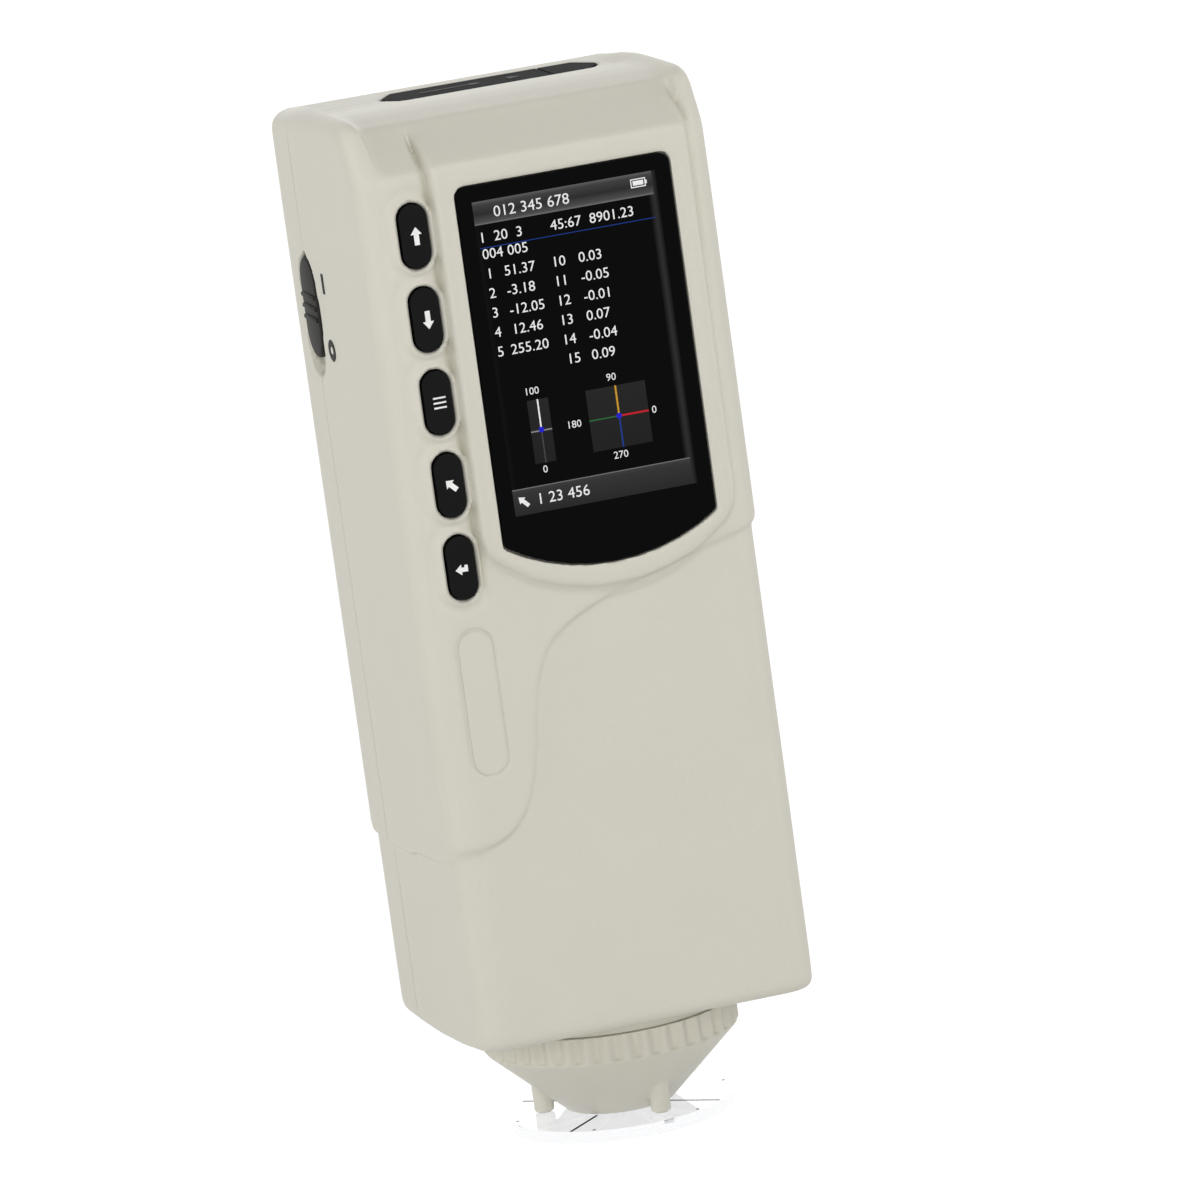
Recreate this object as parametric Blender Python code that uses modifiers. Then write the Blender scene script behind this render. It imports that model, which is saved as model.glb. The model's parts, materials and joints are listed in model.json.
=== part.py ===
# Hand-held colorimeter standing on its locating plate, in metres with +Z up.
# X runs to the viewer's right, the display faces -Y, and the cone's axis is the Z axis.
import math

import bmesh
import bpy
from mathutils import Matrix, Vector

# Fits shared by all sub-parts
FIT_GAP = 0.0003
OVERRUN = 0.0010
WELD = 0.000003
WALL = 0.0022

# Measuring head, from the surface it stands on upwards
PLATE_THICKNESS = 0.0024
PLATE_RADIUS = 0.0221
PLATE_BORE_RADIUS = 0.0048
CAP_HEIGHT = 0.0191
CAP_TIP_RADIUS = 0.0108
CAP_RING_RADIUS = 0.0253
CAP_RING_HEIGHT = 0.0044
CAP_RIM_HEIGHT = 0.0010
CAP_WALL = 0.0022
CAP_SCALLOPS = 30
SCALLOP_RADIUS = 0.0030
SCALLOP_DEPTH = 0.0006
POST_RADIUS = 0.0020
POST_CIRCLE_RADIUS = 0.0151
POST_HEIGHT = 0.0060
POST_ANGLES = (45.5, 165.5, 285.5)
PEG_RADIUS = 0.0012
PEG_LENGTH = 0.0014

# Body outside
BODY_WIDTH = 0.0716
FRONT_TAPER = 0.0006
REAR_TAPER = 0.0002
BODY_DEPTH = 0.0704
BODY_HEIGHT = 0.1836
FRONT_SHELL_DEPTH = 0.0485
BEVEL_DEPTH = 0.0120
BEVEL_HEIGHT = 0.0097
FRONT_CORNER = 0.0070
REAR_CORNER = 0.0106
TOP_ROUND = 0.0040
BOTTOM_ROUND = 0.0022
FRONT_BOTTOM_ROUND = 0.0025
FRONT_LIFT = 0.0029
LIFT_DEPTH = 0.0280
LIFT_HEIGHT = 0.0100
BEND_ROUND = 0.0030
LEAST_ROUND = 0.0006

# The top rises to a shoulder on each side of a wide saddle
SHOULDER_RISE = 0.0016
SHOULDER_DEPTH = 0.0075
SHOULDER_ROUND = 0.0060
SADDLE_MARGIN = 0.0054
BORDER_DROP = 0.0012
SADDLE_SLANT = 0.0050
SADDLE_LEAD = 0.0030

# Places behind the front, as shares of the body's depth, and drops below the top, as shares of its fall
TOP_FALL = 0.0050
SHOULDER_SHARES = (
    (0.284, 0.00), (0.511, 0.06), (0.625, 0.18),
    (0.689, 0.28), (0.795, 0.48), (0.852, 0.54), (1.000, 1.00),
)
SADDLE_SHARES = (
    (0.284, 0.04), (0.369, 0.00), (0.483, 0.08),
    (0.597, 0.24), (0.689, 0.26), (0.910, 0.27),
)

# Curved step between the upper sleeve and the lower body
STEP_HEIGHT = 0.0010
STEP_LOBE_HEIGHT = 0.0396
STEP_RISE = 0.0560
STEP_SHARES = (
    (-1.120, -0.046), (-0.992, -0.034), (-0.966, -0.010), (-0.930, 0.010),
    (-0.882, 0.020), (-0.799, 0.028), (-0.662, 0.071), (-0.555, 0.154),
    (-0.484, 0.268), (-0.440, 0.402), (-0.409, 0.538), (-0.359, 0.643),
    (-0.283, 0.729), (-0.124, 0.802), (0.143, 0.870), (0.409, 0.914),
    (0.658, 0.961), (0.908, 0.998), (1.080, 1.020),
)

# Display
DISPLAY_OFFSET = 0.0043
DISPLAY_DROP = 0.0471
LCD_WIDTH = 0.0366
LCD_HEIGHT = 0.0610
LCD_THICKNESS = 0.0022
LCD_MARGIN = 0.0018
FRAME_WALL = 0.0008
FRAME_DEPTH = 0.0047
ISLAND_PROUD = 0.0015
ISLAND_MARGIN = 0.0044
ISLAND_CORNER_DROP = 0.0370
ISLAND_BOTTOM_DROP = 0.0470
ISLAND_CORNER_ROUND = 0.0085
ISLAND_EDGE_ROUND = 0.0012
WINDOW_MARGIN = 0.0029
WINDOW_TOP = 0.0336
WINDOW_CORNER_DROP = 0.0361
WINDOW_BOTTOM_DROP = 0.0424
WINDOW_TOP_ROUND = 0.0020
WINDOW_BOTTOM_ROUND = 0.0012
WINDOW_THICKNESS = 0.0013
GASKET_THICKNESS = 0.0004

# Keys
KEY_SETBACK = 0.0100
KEY_FIRST_DROP = 0.0211
KEY_PITCH = 0.0161
KEY_WIDTH = 0.0055
KEY_LENGTH = 0.0123
KEY_PROUD = 0.0005
KEY_RIM_WIDTH = 0.0007
KEY_RIM_PROUD = 0.0005
KEY_FLANGE = 0.0006
KEY_FLANGE_THICKNESS = 0.0008
KEY_TRAVEL = 0.0006
KEY_NAMES = ("key_up", "key_down", "key_menu", "key_back", "key_enter")
MEASURE_SETBACK = 0.0106
MEASURE_DROP = 0.1122
MEASURE_WIDTH = 0.0066
MEASURE_LENGTH = 0.0280
MEASURE_TRAVEL = 0.0008
TACT_WIDTH = 0.0050
TACT_LENGTH = 0.0060
TACT_BODY_HEIGHT = 0.0018
TACT_BUTTON_RADIUS = 0.0012

# Boards behind the display
BOARD_THICKNESS = 0.0016
BOARD_MARGIN = 0.0083
BOARD_TOP_DROP = 0.0215
BOARD_HEIGHT = 0.1130
BOARD_BOSS_RADIUS = 0.0024
BOARD_BOSS_INSET = 0.0032
BOARD_SCREW_RADIUS = 0.0010
BOARD_SCREW_HEAD_RADIUS = 0.0019
BOARD_SCREW_HEAD_HEIGHT = 0.0013
BOARD_SCREW_BITE = 0.0030
BUZZER_RADIUS = 0.0045
BUZZER_HEIGHT = 0.0035
BUZZER_INSET = 0.0125
BUZZER_DROP = 0.1000

# Power switch on the left side
SWITCH_SETBACK = 0.0490
SWITCH_TOP_DROP = 0.0287
SLIDER_LENGTH = 0.0203
SLIDER_WIDTH = 0.0112
SLIDER_THICKNESS = 0.0019
SLIDER_TRAVEL = 0.0028
SLIDER_POINT_SHARE = 0.42
SLIDER_RIBS = 3
SLIDER_RIB_PITCH = 0.0022
SLIDER_RIB_WIDTH = 0.0008
SLIDER_RIB_PROUD = 0.0005
SLIDER_RIB_SPAN = 0.0090
RECESS_MARGIN = 0.0010
STEM_WIDTH = 0.0024
STEM_HEIGHT = 0.0040
STEM_LENGTH = 0.0040
SWITCH_BODY_DEPTH = 0.0050
SWITCH_BODY_WIDTH = 0.0070
SWITCH_BODY_HEIGHT = 0.0130

# Ports under rubber covers on the top
STRIP_LEFT_SETBACK = 0.0199
STRIP_RIGHT_SETBACK = 0.0082
STRIP_WIDTH = 0.0137
STRIP_SPLIT_SHARE = 0.7655
STRIP_TAPER = 0.0032
STRIP_TIP = 0.0020
STRIP_DROP = 0.0013
COVER_THICKNESS = 0.0016
COVER_PLUG_HEIGHT = 0.0012
COVER_PLUG_INSET = 0.0007
PORT_WIDTH = 0.0090
PORT_DEPTH = 0.0040
JACK_WIDTH = 0.0064
PORT_BLOCK_HEIGHT = 0.0150
PORT_BLOCK_ROOF = 0.0050
PORT_BLOCK_WALL = 0.0012
PORT_BLOCK_NECK = 0.0040
SOCKET_HEIGHT = 0.0065
SOCKET_WALL = 0.0008
SOCKET_CAVITY_DEPTH = 0.0048

# Case screws
CASE_BOSS_RADIUS = 0.0042
CASE_BOSS_INSET = 0.0090
CASE_BOSS_TOP_DROP = 0.0260
CASE_BOSS_BOTTOM_RISE = 0.0356
CASE_BOSS_SETBACK = 0.0140
CASE_RIB_THICKNESS = 0.0016
CASE_SCREW_RADIUS = 0.0012
CASE_SCREW_HEAD_RADIUS = 0.0024
CASE_SCREW_HEAD_HEIGHT = 0.0020
CASE_SCREW_SINK = 0.0038
CASE_SCREW_BITE = 0.0110

# Battery bay behind the display
CELL_RADIUS = 0.00915
CELL_LENGTH = 0.0650
CELL_CAP_RADIUS = 0.0030
CELL_CAP_HEIGHT = 0.0010
CONTACT_THICKNESS = 0.0005
CONTACT_WIDTH = 0.0100
TRAY_WALL = 0.0014
TRAY_TOP_DROP = 0.0182
BAY_WIDTH = 0.0196
COVER_WIDTH = 0.0360
COVER_HEIGHT = 0.0780
COVER_PLATE = 0.0015
COVER_CORNER = 0.0030
COVER_GRIP_RIBS = 4
COVER_GRIP_PITCH = 0.0020
COVER_GRIP_LENGTH = 0.0120
COVER_GRIP_WIDTH = 0.0009

# Optical bench in the lower body
SPIGOT_RADIUS = 0.0175
SPIGOT_DROP = 0.0094
SPIGOT_BORE_RADIUS = 0.0090
HOUSING_RADIUS = 0.0200
HOUSING_HEIGHT = 0.0420
FLANGE_RADIUS = 0.0262
FLANGE_THICKNESS = 0.0022
HOUSING_SCREW_CIRCLE = 0.0234
HOUSING_SCREW_RADIUS = 0.0010
HOUSING_SCREW_HEAD_RADIUS = 0.0018
HOUSING_SCREW_HEAD_HEIGHT = 0.0013
HOUSING_SCREW_BITE = 0.0020
SPHERE_RADIUS = 0.0170
SPHERE_WALL = 0.0020
SPHERE_PORT_RADIUS = 0.0060
SPHERE_VIEW_RADIUS = 0.0038
NOSE_WALL = 0.0018
GLASS_THICKNESS = 0.0012
GLASS_RISE = 0.0010
LED_BOARD_THICKNESS = 0.0016
LED_RADIUS = 0.0014
LED_HEIGHT = 0.0012
LED_CIRCLE = 0.0110
LED_COUNT = 6
SENSOR_TUBE_RADIUS = 0.0052
SENSOR_TUBE_WALL = 0.0012
SENSOR_TUBE_HEIGHT = 0.0150
LENS_THICKNESS = 0.0024
LENS_LIP = 0.0008
SENSOR_BOARD_SIZE = 0.0260
SENSOR_CHIP_SIZE = 0.0060
SENSOR_CHIP_HEIGHT = 0.0010

# How finely round shapes are divided
ROUND_STEPS = 5
FINE_SIDES = 36
SMALL_SIDES = 16

# Places worked out from the sizes above
CAP_BOTTOM = PLATE_THICKNESS + FIT_GAP
CAP_TOP = CAP_BOTTOM + CAP_HEIGHT
BODY_BOTTOM = CAP_TOP + FIT_GAP
BODY_TOP = BODY_BOTTOM + BODY_HEIGHT
FRONT_Y = ISLAND_PROUD - (BODY_DEPTH + ISLAND_PROUD) / 2
BACK_Y = FRONT_Y + BODY_DEPTH
PARTING_Y = FRONT_Y + FRONT_SHELL_DEPTH
BEND_Z = BODY_TOP - BEVEL_HEIGHT
BORDER_Y = FRONT_Y + BEVEL_DEPTH
FORM_TOP = BODY_TOP + SHOULDER_RISE
BORDER_Z = BODY_TOP - BORDER_DROP
STRIP_Z = BODY_TOP - STRIP_DROP
SHELL = STEP_HEIGHT + WALL
INNER_FRONT_Y = FRONT_Y + SHELL
INNER_BACK_Y = BACK_Y - SHELL
INNER_BOTTOM = BODY_BOTTOM + FRONT_LIFT + WALL
DISPLAY_Z = BODY_TOP - DISPLAY_DROP
WINDOW_WIDTH = LCD_WIDTH + 2 * WINDOW_MARGIN
ISLAND_WIDTH = WINDOW_WIDTH + 2 * ISLAND_MARGIN
POCKET_Y = FRONT_Y - ISLAND_PROUD + 3 * FIT_GAP + WINDOW_THICKNESS + GASKET_THICKNESS
KEY_OFFSET = BODY_WIDTH / 2 - KEY_SETBACK
MEASURE_OFFSET = BODY_WIDTH / 2 - MEASURE_SETBACK
KEY_BACK_Y = INNER_FRONT_Y + FIT_GAP + KEY_FLANGE_THICKNESS
FRAME_FRONT_Y = INNER_FRONT_Y + FIT_GAP
BOARD_WIDTH = BODY_WIDTH - 2 * BOARD_MARGIN
BOARD_Y = FRAME_FRONT_Y + FRAME_DEPTH + FIT_GAP

PARTS = bpy.data.collections.new("colorimeter")
CUTTERS = bpy.data.collections.new("colorimeter_cutters")

# Colours, roughness and metallic value of each material
HOUSING = ("housing_plastic", (0.58, 0.57, 0.50), 0.55, 0.0)
BLACK = ("black_plastic", (0.008, 0.008, 0.008), 0.35, 0.0)
SWITCH_GREY = ("switch_plastic", (0.055, 0.052, 0.050), 0.45, 0.0)
RUBBER = ("cover_rubber", (0.030, 0.030, 0.030), 0.75, 0.0)
GLASS = ("window_glass", (0.005, 0.005, 0.006), 0.05, 0.0)
FOAM = ("gasket_foam", (0.020, 0.020, 0.020), 0.95, 0.0)
LCD_GLASS = ("lcd_glass", (0.020, 0.022, 0.026), 0.15, 0.0)
BOARD = ("circuit_board", (0.020, 0.130, 0.050), 0.45, 0.0)
STEEL = ("steel", (0.560, 0.560, 0.550), 0.30, 1.0)
NICKEL = ("nickel", (0.660, 0.640, 0.600), 0.25, 1.0)
CELL_WRAP = ("cell_wrap", (0.050, 0.160, 0.380), 0.40, 0.0)
OPTIC_BLACK = ("optic_black", (0.015, 0.015, 0.015), 0.60, 0.0)
WHITE_PLASTIC = ("sphere_white", (0.880, 0.880, 0.870), 0.80, 0.0)
CLEAR = ("clear_acrylic", (0.820, 0.840, 0.850), 0.05, 0.0)


def clear_scene():
    for old in list(bpy.data.objects):
        bpy.data.objects.remove(old, do_unlink=True)
    bpy.context.scene.collection.children.link(PARTS)
    bpy.context.scene.collection.children.link(CUTTERS)


def move_to(obj, collection):
    for owner in list(obj.users_collection):
        owner.objects.unlink(obj)
    collection.objects.link(obj)
    return obj


# A cutter or a guide is left out of the build
def tool(obj):
    move_to(obj, CUTTERS)
    obj.hide_render = True
    obj.display_type = 'WIRE'
    return obj


def part(obj, name, material, sharp_degrees=35.0):
    move_to(obj, PARTS)
    obj.hide_render = False
    obj.display_type = 'TEXTURED'
    obj.name = name
    obj.data.name = name
    look = bpy.data.materials.get(material[0]) or bpy.data.materials.new(material[0])
    look.use_nodes = True
    shader = look.node_tree.nodes["Principled BSDF"]
    shader.inputs["Base Color"].default_value = (*material[1], 1.0)
    shader.inputs["Roughness"].default_value = material[2]
    shader.inputs["Metallic"].default_value = material[3]
    own = look.copy()
    own.name = name + "_" + material[0]
    obj.data.materials.clear()
    obj.data.materials.append(own)
    obj.data.shade_smooth()
    obj.data.set_sharp_from_angle(angle=math.radians(sharp_degrees))
    return obj


def object_from(bm, name):
    mesh = bpy.data.meshes.new(name)
    bm.to_mesh(mesh)
    bm.free()
    obj = bpy.data.objects.new(name, mesh)
    return tool(obj)


# Modifiers are settled into the mesh, so each later cut starts from plain faces
def settle(obj):
    bpy.context.view_layer.update()
    graph = bpy.context.evaluated_depsgraph_get()
    mesh = bpy.data.meshes.new_from_object(obj.evaluated_get(graph))
    obj.modifiers.clear()
    obj.data = mesh
    return obj


def combine(target, other, operation):
    boolean = target.modifiers.new(operation.lower(), 'BOOLEAN')
    boolean.operation = operation
    boolean.solver = 'EXACT'
    boolean.object = other
    settle(target)
    bpy.data.objects.remove(other, do_unlink=True)
    bm = bmesh.new()
    bm.from_mesh(target.data)
    bmesh.ops.remove_doubles(bm, verts=bm.verts, dist=WELD)
    bmesh.ops.dissolve_degenerate(bm, edges=bm.edges, dist=WELD)
    bm.to_mesh(target.data)
    bm.free()
    return target


def cut(target, *others):
    for other in others:
        combine(target, other, 'DIFFERENCE')
    return target


def join(target, *others):
    for other in others:
        combine(target, other, 'UNION')
    return target


def keep_common(target, other):
    return combine(target, other, 'INTERSECT')


def box(x_range, y_range, z_range):
    spans = (x_range, y_range, z_range)
    bpy.ops.mesh.primitive_cube_add(size=1.0)
    obj = tool(bpy.context.active_object)
    size = [high - low for low, high in spans]
    middle = [(high + low) / 2 for low, high in spans]
    obj.data.transform(Matrix.Translation(middle) @ Matrix.Diagonal((*size, 1.0)))
    return obj


def span(middle, size):
    return (middle - size / 2, middle + size / 2)


def rod(radius, start, end, sides=SMALL_SIDES):
    start, end = Vector(start), Vector(end)
    run = end - start
    bpy.ops.mesh.primitive_cylinder_add(vertices=sides, radius=radius, depth=run.length)
    obj = tool(bpy.context.active_object)
    turn = Vector((0, 0, 1)).rotation_difference(run).to_matrix().to_4x4()
    obj.data.transform(Matrix.Translation((start + end) / 2) @ turn)
    return obj


# A profile of (radius, height) runs down its outer side and is turned round the Z axis
def turned(profile, closed, sides=FINE_SIDES):
    mesh = bpy.data.meshes.new("profile")
    count = len(profile)
    edges = [(i, i + 1) for i in range(count - 1)]
    if closed:
        edges.append((count - 1, 0))
    mesh.from_pydata([(radius, 0, height) for radius, height in profile], edges, [])
    obj = tool(bpy.data.objects.new("turned", mesh))
    screw = obj.modifiers.new("turn", 'SCREW')
    screw.steps = sides
    screw.render_steps = sides
    screw.use_merge_vertices = True
    screw.merge_threshold = WELD
    return settle(obj)


# A flat outline of (u, v) points, extruded along w, where frame gives the u and v directions
def slab(outline, w_range, u_axis, v_axis):
    curve = bpy.data.curves.new("outline", 'CURVE')
    curve.dimensions = '2D'
    curve.fill_mode = 'BOTH'
    low, high = w_range
    curve.extrude = (high - low) / 2
    spline = curve.splines.new('POLY')
    spline.points.add(len(outline) - 1)
    for point, (u, v) in zip(spline.points, outline):
        point.co = (u, v, 0, 1)
    spline.use_cyclic_u = True
    flat = tool(bpy.data.objects.new("outline", curve))
    bpy.context.view_layer.update()
    graph = bpy.context.evaluated_depsgraph_get()
    mesh = bpy.data.meshes.new_from_object(flat.evaluated_get(graph))
    bpy.data.objects.remove(flat, do_unlink=True)
    bm = bmesh.new()
    bm.from_mesh(mesh)
    bmesh.ops.remove_doubles(bm, verts=bm.verts, dist=WELD)
    u_axis, v_axis = Vector(u_axis), Vector(v_axis)
    w_axis = u_axis.cross(v_axis)
    turn = Matrix((u_axis, v_axis, w_axis)).transposed().to_4x4()
    shift = Matrix.Translation(w_axis * (high + low) / 2)
    bmesh.ops.transform(bm, matrix=shift @ turn, verts=bm.verts)
    bmesh.ops.recalc_face_normals(bm, faces=bm.faces)
    return object_from(bm, "slab")


# An outline in X and Z that runs from the front plane's side at y_range
def facing_slab(outline, y_range):
    low, high = y_range
    return slab(outline, (-high, -low), (1, 0, 0), (0, 0, 1))


# Rounds each inner corner of an open path, and each corner of a closed one
def rounded(corners, radii, closed=True, steps=ROUND_STEPS):
    path = []
    count = len(corners)
    for i, corner in enumerate(corners):
        here = Vector(corner)
        radius = radii[i]
        if radius <= 0 or (not closed and i in (0, count - 1)):
            path.append(tuple(here))
            continue
        back = (Vector(corners[i - 1]) - here).normalized()
        ahead = (Vector(corners[(i + 1) % count]) - here).normalized()
        half = back.angle(ahead) / 2
        reach = radius / math.tan(half)
        centre = here + (back + ahead).normalized() * radius / math.sin(half)
        start = here + back * reach - centre
        sweep = math.pi - 2 * half
        side = 1.0 if back.x * ahead.y - back.y * ahead.x < 0 else -1.0
        for step in range(steps + 1):
            angle = side * sweep * step / steps
            turn = Matrix.Rotation(angle, 2)
            path.append(tuple(centre + turn @ start))
    return path


# Long shape with half-round ends, upright in X and Z
def stadium(centre_x, centre_z, width, length):
    radius = width / 2
    reach = length / 2 - radius
    points = []
    for i in range(2 * ROUND_STEPS + 1):
        angle = math.pi * i / (2 * ROUND_STEPS)
        u, v = radius * math.cos(angle), radius * math.sin(angle)
        points.append((centre_x + u, centre_z + reach + v))
    for i in range(2 * ROUND_STEPS + 1):
        angle = math.pi + math.pi * i / (2 * ROUND_STEPS)
        u, v = radius * math.cos(angle), radius * math.sin(angle)
        points.append((centre_x + u, centre_z - reach + v))
    return points


# Value of a path's first coordinate where its second coordinate reaches the height
def reading(path, height):
    for (u0, v0), (u1, v1) in zip(path, path[1:]):
        if v0 <= height <= v1 and v1 > v0:
            return u0 + (u1 - u0) * (height - v0) / (v1 - v0)
    return path[0][0] if height < path[0][1] else path[-1][0]


def top_dip(y):
    stops = [(v * TOP_FALL, FRONT_Y + u * BODY_DEPTH) for u, v in SHOULDER_SHARES]
    return reading(stops, y)


def side_x(y):
    half = BODY_WIDTH / 2
    stops = [(half - FRONT_TAPER, FRONT_Y), (half, PARTING_Y), (half - REAR_TAPER, BACK_Y)]
    return reading(stops, y)


# The underside rises towards the front, except for the flat floor inside
def bottom_lift(y, bottom):
    if bottom >= INNER_BOTTOM:
        return 0
    return reading([(FRONT_LIFT, FRONT_Y), (0, FRONT_Y + LIFT_DEPTH)], y)


def dipped(x, y, z, bottom, top):
    high = max(0.0, min(1.0, (z - BEND_Z) / (top - BEND_Z)))
    low = max(0.0, min(1.0, 1 - (z - bottom) / LIFT_HEIGHT))
    return (x, y, z - top_dip(y) * high + bottom_lift(y, bottom) * low)


# The lower body, which is set in by the step, stands at the body's bottom
def form_ends(inset):
    bottom = INNER_BOTTOM if inset >= SHELL else BODY_BOTTOM - STEP_HEIGHT + inset
    return bottom, FORM_TOP - inset


# Front line of the body in Y and Z, set in by the given depth
def front_line(inset):
    bend_turn = math.atan2(SHOULDER_DEPTH, FORM_TOP - BEND_Z)
    bottom, top = form_ends(inset)
    front = FRONT_Y + inset
    bend = BEND_Z - inset * math.tan(bend_turn / 2)
    border = FRONT_Y + SHOULDER_DEPTH + inset * math.tan((math.pi / 2 - bend_turn) / 2)
    start, end = (PARTING_Y, bottom), (PARTING_Y, top)
    corners = [start, (front, bottom), (front, bend), (border, top), end]
    radii = [0, FRONT_BOTTOM_ROUND, BEND_ROUND, SHOULDER_ROUND, 0]
    return rounded(corners, radii, closed=False)[1:-1]


# Extra inset of the sides and back near the bottom and the top
def side_line(inset):
    bottom, top = form_ends(inset)
    far = TOP_ROUND + BOTTOM_ROUND
    corners = [(far, bottom), (0, bottom), (0, top), (far, top)]
    return rounded(corners, [0, BOTTOM_ROUND, TOP_ROUND, 0], closed=False)[1:-1]


def half_section(front, inset):
    sides = [FRONT_Y + u * BODY_DEPTH for u, _ in SHOULDER_SHARES[:-2]]
    corners = [(0, front), (side_x(front) - inset, front)]
    corners += [(side_x(y) - inset, y) for y in sides]
    corners += [(BODY_WIDTH / 2 - REAR_TAPER - inset, BACK_Y - inset), (0, BACK_Y - inset)]
    front_round = max(FRONT_CORNER - inset, LEAST_ROUND)
    rear_round = max(REAR_CORNER - inset, LEAST_ROUND)
    radii = [0, front_round] + [0] * len(sides) + [rear_round, 0]
    return rounded(corners, radii, closed=False)[1:-1]


# The body's form, lofted through level sections that follow its front and side lines
def body_form(inset):
    front, sides = front_line(inset), side_line(inset)
    bottom, top = form_ends(inset)
    heights = []
    for height in sorted([v for _, v in front] + [v for _, v in sides]):
        if not heights or height - heights[-1] > LEAST_ROUND / 4:
            heights.append(height)
    heights[-1] = top
    bm = bmesh.new()
    rows = []
    for height in heights:
        half = half_section(reading(front, height), inset + reading(sides, height))
        right = [bm.verts.new(dipped(x, y, height, bottom, top)) for x, y in half]
        left = [bm.verts.new(dipped(-x, y, height, bottom, top)) for x, y in half]
        rows.append((right, left))
    for (right0, left0), (right1, left1) in zip(rows, rows[1:]):
        ring0, ring1 = right0 + left0[::-1], right1 + left1[::-1]
        count = len(ring0)
        for i in range(count):
            j = (i + 1) % count
            bm.faces.new((ring0[i], ring0[j], ring1[j], ring1[i]))
    for right, left in (rows[0], rows[-1]):
        for i in range(len(right) - 1):
            bm.faces.new((right[i], right[i + 1], left[i + 1], left[i]))
    bmesh.ops.recalc_face_normals(bm, faces=bm.faces)
    return cut(object_from(bm, "form"), saddle(inset))


# Hollow over the bevel and the top, with sides that slant outwards
def saddle(inset):
    high = FORM_TOP + OVERRUN
    fall = (BORDER_Z - BEND_Z) * SADDLE_LEAD / BEVEL_DEPTH
    line = [(FRONT_Y - SADDLE_LEAD, BEND_Z - fall), (BORDER_Y, BORDER_Z)]
    line += [(FRONT_Y + u * BODY_DEPTH, BODY_TOP - v * TOP_FALL) for u, v in SADDLE_SHARES]
    line = [(y, z - inset) for y, z in line]
    outline = line + [(line[-1][0], high), (line[0][0], high)]
    solid = side_slab(outline, span(0, BODY_WIDTH - 2 * SADDLE_MARGIN))
    for vertex in solid.data.vertices:
        if vertex.co.z > high - FIT_GAP:
            vertex.co.x += math.copysign(SADDLE_SLANT, vertex.co.x)
    return solid


# Smooth run of points through the shares of the step line
def step_line():
    lobe = BODY_BOTTOM + STEP_LOBE_HEIGHT
    stops = [Vector((u * BODY_WIDTH / 2, lobe + v * STEP_RISE)) for u, v in STEP_SHARES]
    points = []
    for i in range(len(stops) - 1):
        before, after = stops[max(i - 1, 0)], stops[min(i + 2, len(stops) - 1)]
        a, b = stops[i], stops[i + 1]
        for t in (0.0, 0.5):
            cubic = 2 * a + (b - before) * t
            cubic += (2 * before - 5 * a + 4 * b - after) * t * t
            cubic += (3 * a - before - 3 * b + after) * t ** 3
            points.append(tuple(cubic / 2))
    points.append(tuple(stops[-1]))
    return points


def sleeve_region():
    line = step_line()
    high = FORM_TOP + OVERRUN
    outline = line + [(line[-1][0], high), (line[0][0], high)]
    return facing_slab(outline, (FRONT_Y - OVERRUN, BACK_Y + OVERRUN))


# Outline with straight sides and a shallow arc below, about the display's centre
def shield(width, top, corner_drop, bottom_drop, top_round, corner_round, grow=0.0, clear=1):
    half = width / 2 + grow
    sag = bottom_drop - corner_drop
    radius = (half * half + sag * sag) / (2 * sag)
    opening = math.asin(half / radius)
    steps = 2 * ROUND_STEPS
    bottom = []
    for i in range(clear, steps + 1 - clear):
        angle = opening * (1 - 2 * i / steps)
        lift = radius * (1 - math.cos(angle))
        bottom.append((radius * math.sin(angle), lift - bottom_drop - grow))
    corners = [(half, top + grow), (-half, top + grow), (-half, -corner_drop - grow)]
    corners += bottom[::-1] + [(half, -corner_drop - grow)]
    radii = [top_round, top_round, corner_round] + [0] * len(bottom) + [corner_round]
    outline = rounded(corners, radii)
    return [(u + DISPLAY_OFFSET, v + DISPLAY_Z) for u, v in outline]


def window_outline(grow=0.0):
    return shield(WINDOW_WIDTH, WINDOW_TOP, WINDOW_CORNER_DROP, WINDOW_BOTTOM_DROP,
                  WINDOW_TOP_ROUND, WINDOW_BOTTOM_ROUND, grow)


# Raised band round the display, which runs out at the top of the bevel
def island():
    top = BODY_TOP - DISPLAY_Z
    outline = shield(ISLAND_WIDTH, top, ISLAND_CORNER_DROP, ISLAND_BOTTOM_DROP,
                     WINDOW_TOP_ROUND, ISLAND_CORNER_ROUND, clear=2)
    face, root = FRONT_Y - ISLAND_PROUD, FRONT_Y + STEP_HEIGHT
    low = DISPLAY_Z - ISLAND_BOTTOM_DROP - OVERRUN
    lift = ISLAND_PROUD * math.tan(math.atan2(BEVEL_DEPTH, BORDER_Z - BEND_Z) / 2)
    profile = [(face, low), (face, BEND_Z + lift), (BORDER_Y, BORDER_Z - FIT_GAP),
               (BORDER_Y + STEP_HEIGHT, BORDER_Z - STEP_HEIGHT), (root, BEND_Z), (root, low)]
    wide = (DISPLAY_OFFSET - ISLAND_WIDTH, DISPLAY_OFFSET + ISLAND_WIDTH)
    block = facing_slab(outline, (face - OVERRUN, BORDER_Y + 2 * OVERRUN))
    solid = keep_common(block, side_slab(profile, wide))
    bevel = solid.modifiers.new("edge", 'BEVEL')
    bevel.limit_method = 'ANGLE'
    bevel.angle_limit = math.radians(60)
    bevel.width = ISLAND_EDGE_ROUND
    bevel.segments = 2
    return settle(solid)


def key_places():
    top = BODY_TOP - KEY_FIRST_DROP
    return [(-KEY_OFFSET, top - i * KEY_PITCH) for i in range(len(KEY_NAMES))]


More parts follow.
